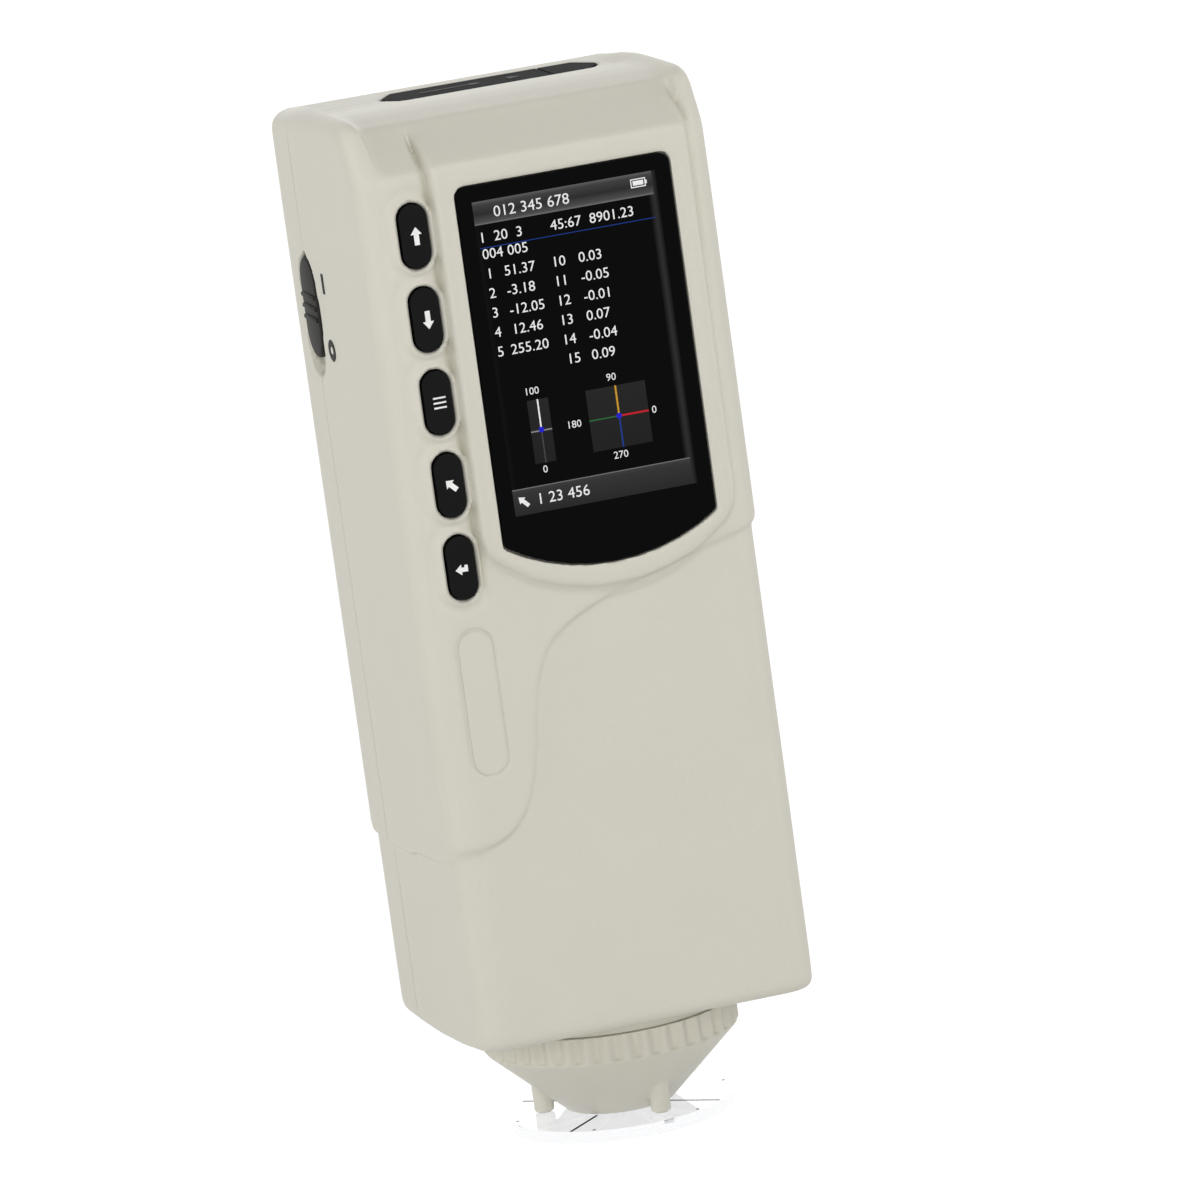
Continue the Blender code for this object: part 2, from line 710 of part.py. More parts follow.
def case_boss_places():
    high, low = BODY_TOP - CASE_BOSS_TOP_DROP, BODY_BOTTOM + CASE_BOSS_BOTTOM_RISE
    return [(side * (BODY_WIDTH / 2 - CASE_BOSS_INSET), z) for side in (-1, 1) for z in (high, low)]


# Board bosses stand beside the keys, below the display and near the board's lower edge
def board_boss_places():
    x = BOARD_WIDTH / 2 - BOARD_BOSS_INSET
    high = BODY_TOP - BOARD_TOP_DROP - BOARD_BOSS_INSET
    low = BODY_TOP - BOARD_TOP_DROP - BOARD_HEIGHT + BOARD_BOSS_INSET
    beside = KEY_OFFSET - KEY_WIDTH / 2 - KEY_FLANGE - FIT_GAP - BOARD_BOSS_RADIUS
    edge = LCD_HEIGHT / 2 + LCD_MARGIN + FRAME_WALL + 2 * FIT_GAP
    below = DISPLAY_Z - edge - BOARD_BOSS_INSET
    return [(-beside, high), (x, below), (x, low), (-beside, low)]


# Both halves of the casing before they are parted
def casing():
    lower = body_form(STEP_HEIGHT)
    upper = keep_common(body_form(0), sleeve_region())
    return join(upper, lower)


def switch_middle():
    y = FRONT_Y + SWITCH_SETBACK
    z = BODY_TOP - SWITCH_TOP_DROP - SLIDER_LENGTH / 2
    return y, z


# Long oval with pointed ends, across Y and Z on the left side
def pointed_oval(y, z, width, length):
    points = []
    steps = 4 * ROUND_STEPS
    for i in range(steps):
        angle = 2 * math.pi * (i + 0.5) / steps
        across, along = math.cos(angle), math.sin(angle)
        narrow = 1 - SLIDER_POINT_SHARE * along * along
        points.append((y + across * narrow * width / 2, z + along * length / 2))
    return points


def side_slab(outline, x_range):
    return slab(outline, x_range, (0, 1, 0), (0, 0, 1))


def switch_recess():
    y, z = switch_middle()
    z -= SLIDER_TRAVEL / 2
    length = SLIDER_LENGTH + SLIDER_TRAVEL + 2 * RECESS_MARGIN
    outline = pointed_oval(y, z, SLIDER_WIDTH + 2 * RECESS_MARGIN, length)
    floor = -BODY_WIDTH / 2 + SLIDER_THICKNESS + FIT_GAP
    return side_slab(outline, (-BODY_WIDTH / 2 - OVERRUN, floor))


def stem_slot():
    y, z = switch_middle()
    low = z - SLIDER_TRAVEL - STEM_HEIGHT / 2 - FIT_GAP
    high = z + STEM_HEIGHT / 2 + FIT_GAP
    depth = SLIDER_THICKNESS + STEM_LENGTH + OVERRUN
    return box((-BODY_WIDTH / 2 - OVERRUN, -BODY_WIDTH / 2 + depth),
               span(y, STEM_WIDTH + 2 * FIT_GAP), (low, high))


# Level slab about the middle of the port covers, whose tops lie at zero height
def strip_slab(outline, w_range):
    solid = slab(outline, w_range, (1, 0, 0), (0, 1, 0))
    solid.data.transform(Matrix.Translation((0, PARTING_Y, STRIP_Z)))
    return solid


def strip_outline(x_range, grow, left_point, right_point):
    low, high = x_range
    half = STRIP_WIDTH / 2 + grow
    tip = STRIP_TIP / 2 + grow
    low, high = low - grow, high + grow
    outline = [(high, -half), (high, half)]
    if right_point:
        outline = [(high - STRIP_TAPER, -half), (high, -tip), (high, tip), (high - STRIP_TAPER, half)]
    if left_point:
        outline += [(low + STRIP_TAPER, half), (low, tip), (low, -tip), (low + STRIP_TAPER, -half)]
    else:
        outline += [(low, half), (low, -half)]
    return outline


def strip_ranges():
    low = STRIP_LEFT_SETBACK - BODY_WIDTH / 2
    high = BODY_WIDTH / 2 - STRIP_RIGHT_SETBACK
    split = low + (high - low) * STRIP_SPLIT_SHARE
    return (low, split - FIT_GAP / 2), (split + FIT_GAP / 2, high)


def port_openings():
    usb, jack = strip_ranges()
    return ((sum(usb) / 2, PORT_WIDTH), (sum(jack) / 2, JACK_WIDTH))


# Opening through both shells for the port covers and the block under them
def port_opening():
    usb, jack = strip_ranges()
    outline = strip_outline((usb[0], jack[1]), FIT_GAP, True, True)
    return strip_slab(outline, (-2 * SHELL, OVERRUN * 3))


# Block under the port covers, open below for the sockets and their board
def port_block():
    usb, jack = strip_ranges()
    wall = PORT_BLOCK_WALL
    low = STRIP_Z - PORT_BLOCK_HEIGHT
    roof = STRIP_Z - PORT_BLOCK_ROOF
    shoulder = STRIP_Z - SHELL - 2 * FIT_GAP
    x_low, x_high = usb[0] - wall, jack[1] + wall
    block = box((x_low, x_high), span(PARTING_Y, STRIP_WIDTH + 2 * wall), (low, shoulder))
    neck_top = -COVER_THICKNESS - FIT_GAP
    neck = strip_outline((usb[0], jack[1]), 0, True, True)
    join(block, strip_slab(neck, (neck_top - PORT_BLOCK_NECK, neck_top)))
    cut(block, box((x_low + wall, x_high - wall), span(PARTING_Y, STRIP_WIDTH), (low - OVERRUN, roof)))
    for x, width in port_openings():
        cut(block, box(span(x, width), span(PARTING_Y, PORT_DEPTH), (roof - OVERRUN, BODY_TOP)))
    return part(block, "port_block", BLACK)


# A key's hole, and the relief that its flange moves in behind the front wall
def key_cuts(x, z, width, length):
    hole = facing_slab(stadium(x, z, width + 2 * FIT_GAP, length + 2 * FIT_GAP),
                       (FRONT_Y - OVERRUN, INNER_FRONT_Y + FIT_GAP))
    wide = 2 * (KEY_FLANGE + FIT_GAP)
    relief = facing_slab(stadium(x, z, width + wide, length + wide),
                         (INNER_FRONT_Y - FIT_GAP / 2, FRONT_Y + FRONT_CORNER))
    return hole, relief


def front_shell(body):
    half = box(span(0, 2 * BODY_WIDTH), (FRONT_Y - BODY_DEPTH, PARTING_Y - FIT_GAP / 2), (0, 2 * BODY_HEIGHT))
    shell = keep_common(body, half)
    join(shell, island())
    for x, z in key_places():
        rim = facing_slab(stadium(x, z, KEY_WIDTH + 2 * (KEY_RIM_WIDTH + FIT_GAP),
                                  KEY_LENGTH + 2 * (KEY_RIM_WIDTH + FIT_GAP)),
                          (FRONT_Y - KEY_RIM_PROUD, FRONT_Y + STEP_HEIGHT))
        join(shell, rim)
    reach = BODY_WIDTH / 2 - SHELL + OVERRUN
    for x, z in case_boss_places():
        start, end = FRONT_Y + CASE_BOSS_SETBACK, PARTING_Y - FIT_GAP / 2
        rib = box(sorted((x, math.copysign(reach, x))), (start, end), span(z, CASE_RIB_THICKNESS))
        join(shell, rod(CASE_BOSS_RADIUS, (x, start, z), (x, end, z)), rib)
    for x, z in board_boss_places():
        join(shell, rod(BOARD_BOSS_RADIUS, (x, INNER_FRONT_Y - WALL / 2, z), (x, BOARD_Y - FIT_GAP, z)))
    pocket = facing_slab(window_outline(FIT_GAP), (FRONT_Y - ISLAND_PROUD - OVERRUN, POCKET_Y))
    depth = (FRONT_Y, INNER_FRONT_Y + OVERRUN)
    view = box(span(DISPLAY_OFFSET, LCD_WIDTH), depth, span(DISPLAY_Z, LCD_HEIGHT))
    cut(shell, pocket, view)
    for x, z in key_places():
        cut(shell, *key_cuts(x, z, KEY_WIDTH, KEY_LENGTH))
    cut(shell, *key_cuts(-MEASURE_OFFSET, BODY_TOP - MEASURE_DROP, MEASURE_WIDTH, MEASURE_LENGTH))
    for x, z in case_boss_places():
        cut(shell, rod(CASE_SCREW_RADIUS + FIT_GAP, (x, PARTING_Y - CASE_SCREW_BITE - OVERRUN, z),
                       (x, PARTING_Y + OVERRUN, z)))
    for x, z in board_boss_places():
        cut(shell, rod(BOARD_SCREW_RADIUS + FIT_GAP, (x, BOARD_Y - BOARD_SCREW_BITE - OVERRUN, z),
                       (x, BOARD_Y + OVERRUN, z)))
    cut(shell, port_opening(), switch_recess(), stem_slot(), bottom_hole(), *housing_pilots())
    return part(shell, "front_shell", HOUSING)


def cover_outline(grow=0.0):
    middle = cover_middle_z()
    half, high = COVER_WIDTH / 2 + grow, COVER_HEIGHT / 2 + grow
    corners = [(half, middle - high), (half, middle + high), (-half, middle + high), (-half, middle - high)]
    return rounded(corners, [COVER_CORNER] * 4)


def cover_middle_z():
    return tray_top() - (CELL_LENGTH + 2 * TRAY_WALL) / 2


def tray_top():
    return BODY_TOP - TRAY_TOP_DROP


def cell_range():
    space = CELL_LENGTH + CELL_CAP_HEIGHT
    high = tray_top() - TRAY_WALL - CONTACT_THICKNESS - 2 * FIT_GAP
    return high - space, high


def tray_bottom():
    return cell_range()[0] - CONTACT_THICKNESS - 2 * FIT_GAP - TRAY_WALL


def tray_ranges():
    back = INNER_BACK_Y - FIT_GAP
    front = back - 2 * CELL_RADIUS - 2 * FIT_GAP - TRAY_WALL
    return span(0, BAY_WIDTH + 2 * TRAY_WALL), (front, back), (tray_bottom(), tray_top())


def rear_shell(body):
    half = box(span(0, 2 * BODY_WIDTH), (PARTING_Y + FIT_GAP / 2, BACK_Y + BODY_DEPTH), (0, 2 * BODY_HEIGHT))
    shell = keep_common(body, half)
    for x, z in case_boss_places():
        join(shell, rod(CASE_BOSS_RADIUS, (x, PARTING_Y + FIT_GAP / 2, z), (x, INNER_BACK_Y + WALL / 2, z)))
    cut(shell, port_opening())
    for x, z in case_boss_places():
        cut(shell, rod(CASE_SCREW_RADIUS + FIT_GAP, (x, PARTING_Y - OVERRUN, z), (x, BACK_Y + OVERRUN, z)))
        cut(shell, rod(CASE_SCREW_HEAD_RADIUS + FIT_GAP, (x, BACK_Y - CASE_SCREW_SINK, z),
                       (x, BACK_Y + OVERRUN, z)))
    recess = facing_slab(cover_outline(FIT_GAP), (BACK_Y - COVER_PLATE - FIT_GAP, BACK_Y + OVERRUN))
    z_low, z_high = tray_bottom() + TRAY_WALL, tray_top() - TRAY_WALL
    window = box(span(0, BAY_WIDTH), (INNER_BACK_Y - OVERRUN, BACK_Y + OVERRUN), (z_low, z_high))
    cut(shell, recess, window, switch_recess(), stem_slot(), bottom_hole(), *housing_pilots())
    return part(shell, "rear_shell", HOUSING)


def bottom_hole():
    low, high = BODY_BOTTOM - OVERRUN, INNER_BOTTOM + OVERRUN
    return rod(SPIGOT_RADIUS + FIT_GAP, (0, 0, low), (0, 0, high), FINE_SIDES)


def housing_pilot_places():
    places = []
    for i in range(4):
        angle = math.radians(45 + 90 * i)
        places.append((HOUSING_SCREW_CIRCLE * math.cos(angle), HOUSING_SCREW_CIRCLE * math.sin(angle)))
    return places


def housing_pilots():
    depth = HOUSING_SCREW_BITE + FIT_GAP
    return [rod(HOUSING_SCREW_RADIUS + FIT_GAP, (x, y, INNER_BOTTOM - depth), (x, y, INNER_BOTTOM + OVERRUN))
            for x, y in housing_pilot_places()]


def display_window():
    front = FRONT_Y - ISLAND_PROUD + FIT_GAP
    solid = facing_slab(window_outline(), (front, front + WINDOW_THICKNESS))
    return part(solid, "display_window", GLASS)


def display_gasket():
    high = POCKET_Y - FIT_GAP
    low = high - GASKET_THICKNESS
    solid = facing_slab(window_outline(-FIT_GAP), (low, high))
    depth = (low - OVERRUN, high + OVERRUN)
    cut(solid, box(span(DISPLAY_OFFSET, LCD_WIDTH), depth, span(DISPLAY_Z, LCD_HEIGHT)))
    return part(solid, "display_gasket", FOAM)


# Metal tray that holds the display behind its opening
def lcd_frame():
    width = LCD_WIDTH + 2 * (LCD_MARGIN + FIT_GAP + FRAME_WALL)
    height = LCD_HEIGHT + 2 * (LCD_MARGIN + FIT_GAP + FRAME_WALL)
    back = FRAME_FRONT_Y + FRAME_DEPTH
    solid = box(span(DISPLAY_OFFSET, width), (FRAME_FRONT_Y, back), span(DISPLAY_Z, height))
    hollow = box(span(DISPLAY_OFFSET, width - 2 * FRAME_WALL), (FRAME_FRONT_Y - OVERRUN, back - FRAME_WALL),
                 span(DISPLAY_Z, height - 2 * FRAME_WALL))
    return part(cut(solid, hollow), "lcd_frame", STEEL)


def lcd_panel():
    low = FRAME_FRONT_Y
    floor = FRAME_FRONT_Y + FRAME_DEPTH - FRAME_WALL
    high = min(low + LCD_THICKNESS, floor - FIT_GAP)
    solid = box(span(DISPLAY_OFFSET, LCD_WIDTH + 2 * LCD_MARGIN), (low, high),
                span(DISPLAY_Z, LCD_HEIGHT + 2 * LCD_MARGIN))
    return part(solid, "lcd_panel", LCD_GLASS)


def lcd_backlight():
    low = FRAME_FRONT_Y + LCD_THICKNESS + FIT_GAP
    high = FRAME_FRONT_Y + FRAME_DEPTH - FRAME_WALL - FIT_GAP
    solid = box(span(DISPLAY_OFFSET, LCD_WIDTH + 2 * LCD_MARGIN), (low, high),
                span(DISPLAY_Z, LCD_HEIGHT + 2 * LCD_MARGIN))
    return part(solid, "lcd_backlight", WHITE_PLASTIC)


def key(name, x, z):
    face = FRONT_Y - KEY_RIM_PROUD - KEY_PROUD
    body = facing_slab(stadium(x, z, KEY_WIDTH, KEY_LENGTH), (face, KEY_BACK_Y))
    flange = facing_slab(stadium(x, z, KEY_WIDTH + 2 * KEY_FLANGE, KEY_LENGTH + 2 * KEY_FLANGE),
                         (INNER_FRONT_Y + FIT_GAP, KEY_BACK_Y))
    return part(join(body, flange), name, BLACK)


def measure_key():
    x, z = -MEASURE_OFFSET, BODY_TOP - MEASURE_DROP
    body = facing_slab(stadium(x, z, MEASURE_WIDTH, MEASURE_LENGTH), (FRONT_Y, KEY_BACK_Y))
    flange = facing_slab(stadium(x, z, MEASURE_WIDTH + 2 * KEY_FLANGE, MEASURE_LENGTH + 2 * KEY_FLANGE),
                         (INNER_FRONT_Y + FIT_GAP, KEY_BACK_Y))
    return part(join(body, flange), "measure_key", HOUSING)


# One push switch stands on the board behind each key, just clear of the key's travel
def key_switches():
    places = [(x, z, KEY_TRAVEL) for x, z in key_places()]
    places.append((-MEASURE_OFFSET, BODY_TOP - MEASURE_DROP, MEASURE_TRAVEL))
    for number, (x, z, travel) in enumerate(places, 1):
        tip = KEY_BACK_Y + travel + FIT_GAP
        back = BOARD_Y - FIT_GAP
        front = back - TACT_BODY_HEIGHT
        body = box(span(x, TACT_WIDTH), (front, back), span(z, TACT_LENGTH))
        button = rod(TACT_BUTTON_RADIUS, (x, tip, z), (x, front + FIT_GAP, z), ROUND_STEPS * 2)
        part(join(body, button), f"key_switch_{number}", STEEL)


def main_board():
    high = BODY_TOP - BOARD_TOP_DROP
    board = box(span(0, BOARD_WIDTH), (BOARD_Y, BOARD_Y + BOARD_THICKNESS), (high - BOARD_HEIGHT, high))
    for x, z in board_boss_places():
        cut(board, rod(BOARD_SCREW_RADIUS + FIT_GAP, (x, BOARD_Y - OVERRUN, z),
                       (x, BOARD_Y + BOARD_THICKNESS + OVERRUN, z)))
    return part(board, "main_board", BOARD)


def screw(head_radius, head_height, shank_radius, seat, tip, head_end):
    shank = rod(shank_radius, tip, Vector(seat).lerp(Vector(head_end), 0.5), ROUND_STEPS * 2)
    return join(rod(head_radius, seat, head_end), shank)


def board_screws():
    seat = BOARD_Y + BOARD_THICKNESS + FIT_GAP
    for number, (x, z) in enumerate(board_boss_places(), 1):
        solid = screw(BOARD_SCREW_HEAD_RADIUS, BOARD_SCREW_HEAD_HEIGHT, BOARD_SCREW_RADIUS, (x, seat, z),
                      (x, BOARD_Y - BOARD_SCREW_BITE, z), (x, seat + BOARD_SCREW_HEAD_HEIGHT, z))
        part(solid, f"board_screw_{number}", STEEL)


def buzzer():
    seat = BOARD_Y + BOARD_THICKNESS + FIT_GAP
    x, z = (BOARD_WIDTH / 2 - BUZZER_INSET), BODY_TOP - BUZZER_DROP
    drum = rod(BUZZER_RADIUS, (x, seat, z), (x, seat + BUZZER_HEIGHT, z), FINE_SIDES // 2)
    return part(drum, "buzzer", BLACK)


def power_slider():
    y, z = switch_middle()
    face = -BODY_WIDTH / 2 + SLIDER_RIB_PROUD
    floor = -BODY_WIDTH / 2 + SLIDER_THICKNESS
    slider = side_slab(pointed_oval(y, z, SLIDER_WIDTH, SLIDER_LENGTH), (face, floor))
    for i in range(SLIDER_RIBS):
        rib_z = z + (i - (SLIDER_RIBS - 1) / 2) * SLIDER_RIB_PITCH
        rib = box((-BODY_WIDTH / 2, face + SLIDER_THICKNESS / 4), span(y, SLIDER_RIB_SPAN),
                  span(rib_z, SLIDER_RIB_WIDTH))
        join(slider, rib)
    stem = box((floor - SLIDER_THICKNESS / 4, floor + STEM_LENGTH), span(y, STEM_WIDTH), span(z, STEM_HEIGHT))
    return part(join(slider, stem), "power_slider", SWITCH_GREY)


# The switch inside has a channel that the slider's stem runs in
def power_switch_body():
    y, z = switch_middle()
    z -= SLIDER_TRAVEL / 2
    wall_x = -BODY_WIDTH / 2 + SHELL + 2 * FIT_GAP
    body = box((wall_x, wall_x + SWITCH_BODY_DEPTH), span(y, SWITCH_BODY_WIDTH), span(z, SWITCH_BODY_HEIGHT))
    reach = -BODY_WIDTH / 2 + SLIDER_THICKNESS + STEM_LENGTH + FIT_GAP
    channel = box((wall_x - OVERRUN, reach), span(y, STEM_WIDTH + 2 * FIT_GAP),
                  span(z, STEM_HEIGHT + SLIDER_TRAVEL + 2 * FIT_GAP))
    return part(cut(body, channel), "power_switch_body", STEEL)


# A rubber cover turns about its end at the split between the two covers
def port_cover(name, x_range, left_point, hole, hinge_x):
    plate = strip_slab(strip_outline(x_range, 0, left_point, not left_point), (-COVER_THICKNESS, 0))
    x, width = hole
    inset = 2 * COVER_PLUG_INSET
    low = STRIP_Z - COVER_THICKNESS - COVER_PLUG_HEIGHT
    high = STRIP_Z - COVER_THICKNESS / 2
    plug = box(span(x, width - inset), span(PARTING_Y, PORT_DEPTH - inset), (low, high))
    cover = part(join(plate, plug), name, RUBBER)
    hinge = Vector((hinge_x, PARTING_Y, STRIP_Z))
    cover.data.transform(Matrix.Translation(-hinge))
    cover.location = hinge
    return cover


def sockets():
    high = STRIP_Z - PORT_BLOCK_ROOF - FIT_GAP
    low = high - SOCKET_HEIGHT
    for name, (x, width) in zip(("usb_socket", "power_jack"), port_openings()):
        outer = span(PARTING_Y, PORT_DEPTH + 2 * SOCKET_WALL)
        body = box(span(x, width + 2 * SOCKET_WALL), outer, (low, high))
        hollow = box(span(x, width - 2 * FIT_GAP), span(PARTING_Y, PORT_DEPTH - 2 * FIT_GAP),
                     (high - SOCKET_CAVITY_DEPTH, high + OVERRUN))
        part(cut(body, hollow), name, STEEL)
    usb, jack = strip_ranges()
    x_range = (usb[0] + FIT_GAP, jack[1] - FIT_GAP)
    depth = STRIP_WIDTH - 2 * FIT_GAP
    board = box(x_range, span(PARTING_Y, depth), (low - FIT_GAP - BOARD_THICKNESS, low - FIT_GAP))
    return part(board, "port_board", BOARD)


def case_screws():
    seat = BACK_Y - CASE_SCREW_SINK + FIT_GAP
    for number, (x, z) in enumerate(case_boss_places(), 1):
        solid = screw(CASE_SCREW_HEAD_RADIUS, CASE_SCREW_HEAD_HEIGHT, CASE_SCREW_RADIUS, (x, seat, z),
                      (x, PARTING_Y - CASE_SCREW_BITE, z), (x, seat + CASE_SCREW_HEAD_HEIGHT, z))
        part(solid, f"case_screw_{number}", STEEL)


def battery_tray():
    x_range, (front, back), (low, high) = tray_ranges()
    tray = box(x_range, (front, back), (low, high))
    hollow = box(span(0, BAY_WIDTH), (front + TRAY_WALL, back + OVERRUN), (low + TRAY_WALL, high - TRAY_WALL))
    return part(cut(tray, hollow), "battery_tray", BLACK)


def cell_y():
    return tray_ranges()[1][0] + TRAY_WALL + FIT_GAP + CELL_RADIUS


def battery_cell():
    low, high = cell_range()
    shoulder = high - CELL_CAP_HEIGHT
    lip = CELL_RADIUS - LEAST_ROUND
    profile = [(0, high), (CELL_CAP_RADIUS, high), (CELL_CAP_RADIUS, shoulder), (lip, shoulder),
               (CELL_RADIUS, shoulder - LEAST_ROUND), (CELL_RADIUS, low + LEAST_ROUND), (lip, low), (0, low)]
    cell = turned(profile, closed=False, sides=FINE_SIDES // 2)
    cell.data.transform(Matrix.Translation((0, cell_y(), 0)))
    return part(cell, "battery_cell", CELL_WRAP)


def battery_contacts():
    low, high = cell_range()
    y = cell_y()
    top, foot = high + FIT_GAP, low - FIT_GAP - CONTACT_THICKNESS
    for name, z in (("battery_contact_top", top), ("battery_contact_foot", foot)):
        plate = box(span(0, CONTACT_WIDTH), span(y, CONTACT_WIDTH), (z, z + CONTACT_THICKNESS))
        part(plate, name, NICKEL)


def battery_cover():
    high = BACK_Y
    cover = facing_slab(cover_outline(), (high - COVER_PLATE, high))
    for i in range(COVER_GRIP_RIBS):
        z = cover_middle_z() + COVER_HEIGHT / 2 - COVER_CORNER - (i + 1) * COVER_GRIP_PITCH
        cut(cover, box(span(0, COVER_GRIP_LENGTH), (high - COVER_PLATE / 3, high + OVERRUN),
                       span(z, COVER_GRIP_WIDTH)))
    return part(cover, "battery_cover", HOUSING)


# Turned housing: a spigot below the case for the cap, a flange inside it and a tube for the sphere
def optical_housing():
    floor = INNER_BOTTOM + FIT_GAP
    low = BODY_BOTTOM - SPIGOT_DROP
    top = floor + HOUSING_HEIGHT
    bore = SPHERE_RADIUS + FIT_GAP
    profile = [(bore, top), (HOUSING_RADIUS, top), (HOUSING_RADIUS, floor + FLANGE_THICKNESS),
               (FLANGE_RADIUS, floor + FLANGE_THICKNESS), (FLANGE_RADIUS, floor), (SPIGOT_RADIUS, floor),
               (SPIGOT_RADIUS, low), (SPIGOT_BORE_RADIUS, low), (SPIGOT_BORE_RADIUS, sphere_seat()),
               (bore, sphere_seat())]
    housing = turned(profile, closed=True)
    for x, y in housing_pilot_places():
        cut(housing, rod(HOUSING_SCREW_RADIUS + FIT_GAP, (x, y, floor - OVERRUN),
                         (x, y, floor + FLANGE_THICKNESS + OVERRUN)))
    return part(housing, "optical_housing", OPTIC_BLACK)


def housing_screws():
    seat = INNER_BOTTOM + FLANGE_THICKNESS + 2 * FIT_GAP
    tip = INNER_BOTTOM - HOUSING_SCREW_BITE
    for number, (x, y) in enumerate(housing_pilot_places(), 1):
        solid = screw(HOUSING_SCREW_HEAD_RADIUS, HOUSING_SCREW_HEAD_HEIGHT, HOUSING_SCREW_RADIUS,
                      (x, y, seat), (x, y, tip), (x, y, seat + HOUSING_SCREW_HEAD_HEIGHT))
        part(solid, f"housing_screw_{number}", STEEL)


def sphere_seat():
    return INNER_BOTTOM + FIT_GAP


# The flat rim round the sphere's lower port rests on the housing's floor
def sphere_middle():
    drop = math.sqrt(SPHERE_RADIUS ** 2 - (SPHERE_PORT_RADIUS + SPHERE_WALL) ** 2)
    return sphere_seat() + FIT_GAP + drop


def sphere_top():
    rise = math.sqrt(SPHERE_RADIUS ** 2 - (SPHERE_VIEW_RADIUS + SPHERE_WALL) ** 2)
    return sphere_middle() + rise


def integrating_sphere():
    middle = sphere_middle()
    outer_top = math.asin((SPHERE_VIEW_RADIUS + SPHERE_WALL) / SPHERE_RADIUS)
    outer_low = math.pi - math.asin((SPHERE_PORT_RADIUS + SPHERE_WALL) / SPHERE_RADIUS)
    inner = SPHERE_RADIUS - SPHERE_WALL
    inner_top = math.asin(SPHERE_VIEW_RADIUS / inner)
    inner_low = math.pi - math.asin(SPHERE_PORT_RADIUS / inner)
    steps = 2 * ROUND_STEPS
    profile = []
    for i in range(steps + 1):
        angle = outer_top + (outer_low - outer_top) * i / steps
        profile.append((SPHERE_RADIUS * math.sin(angle), middle + SPHERE_RADIUS * math.cos(angle)))
    profile.append((SPHERE_PORT_RADIUS, profile[-1][1]))
    for i in range(steps + 1):
        angle = inner_low + (inner_top - inner_low) * i / steps
        profile.append((inner * math.sin(angle), middle + inner * math.cos(angle)))
    profile.append((SPHERE_VIEW_RADIUS, profile[0][1]))
    return part(turned(profile, closed=True, sides=FINE_SIDES * 2 // 3), "integrating_sphere", WHITE_PLASTIC)


# Tube that carries light from the sphere to the tip of the cap
def aperture_tube():
    outer = SPIGOT_BORE_RADIUS - FIT_GAP
    top = sphere_middle() - math.sqrt(SPHERE_RADIUS ** 2 - (SPHERE_PORT_RADIUS + SPHERE_WALL) ** 2) - FIT_GAP
    shoulder = BODY_BOTTOM - SPIGOT_DROP
    tip = CAP_BOTTOM + CAP_WALL + FIT_GAP
    tip_bore = PLATE_BORE_RADIUS
    tip_outer = tip_bore + NOSE_WALL
    profile = [(outer - NOSE_WALL, top), (outer, top), (outer, shoulder), (tip_outer, tip), (tip_bore, tip),
               (outer - NOSE_WALL, shoulder)]
    return part(turned(profile, closed=True, sides=FINE_SIDES * 2 // 3), "aperture_tube", OPTIC_BLACK)


# Clear disc in the tube that keeps dust out of the sphere
def aperture_glass():
    radius = SPIGOT_BORE_RADIUS - NOSE_WALL - 2 * FIT_GAP
    low = BODY_BOTTOM - SPIGOT_DROP + GLASS_RISE
    disc = rod(radius, (0, 0, low), (0, 0, low + GLASS_THICKNESS), FINE_SIDES * 2 // 3)
    return part(disc, "aperture_glass", CLEAR)


# Ring board with its lamps, round the sensor tube and over the sphere
def led_board():
    low = INNER_BOTTOM + FIT_GAP + HOUSING_HEIGHT + FIT_GAP
    high = low + LED_BOARD_THICKNESS
    bore = SENSOR_TUBE_RADIUS + FIT_GAP
    board = turned([(bore, high), (HOUSING_RADIUS, high), (HOUSING_RADIUS, low), (bore, low)], closed=True)
    lamps = []
    for i in range(LED_COUNT):
        angle = 2 * math.pi * i / LED_COUNT
        x, y = LED_CIRCLE * math.cos(angle), LED_CIRCLE * math.sin(angle)
        lamps.append(rod(LED_RADIUS, (x, y, low - LED_HEIGHT), (x, y, low + LED_BOARD_THICKNESS / 2),
                         ROUND_STEPS * 2))
    return part(join(board, *lamps), "led_board", BOARD)


def tube_bottom():
    return sphere_top() + FIT_GAP


def tube_top():
    return INNER_BOTTOM + 2 * FIT_GAP + HOUSING_HEIGHT + LED_BOARD_THICKNESS + SENSOR_TUBE_HEIGHT


def sensor_tube():
    low, high = tube_bottom(), tube_top()
    bore = SENSOR_TUBE_RADIUS - SENSOR_TUBE_WALL
    lip = high - LENS_THICKNESS - 2 * FIT_GAP
    profile = [(bore, high), (SENSOR_TUBE_RADIUS, high), (SENSOR_TUBE_RADIUS, low), (bore - LENS_LIP, low),
               (bore - LENS_LIP, lip), (bore, lip)]
    return part(turned(profile, closed=True, sides=FINE_SIDES // 2), "sensor_tube", OPTIC_BLACK)


def sensor_lens():
    radius = SENSOR_TUBE_RADIUS - SENSOR_TUBE_WALL - FIT_GAP
    high = tube_top() - FIT_GAP
    low = high - LENS_THICKNESS
    edge = LENS_THICKNESS / 4
    profile = [(0, high), (radius / 2, high - edge / 4), (radius, high - edge), (radius, low + edge),
               (radius / 2, low + edge / 4), (0, low)]
    return part(turned(profile, closed=False, sides=FINE_SIDES // 2), "sensor_lens", CLEAR)


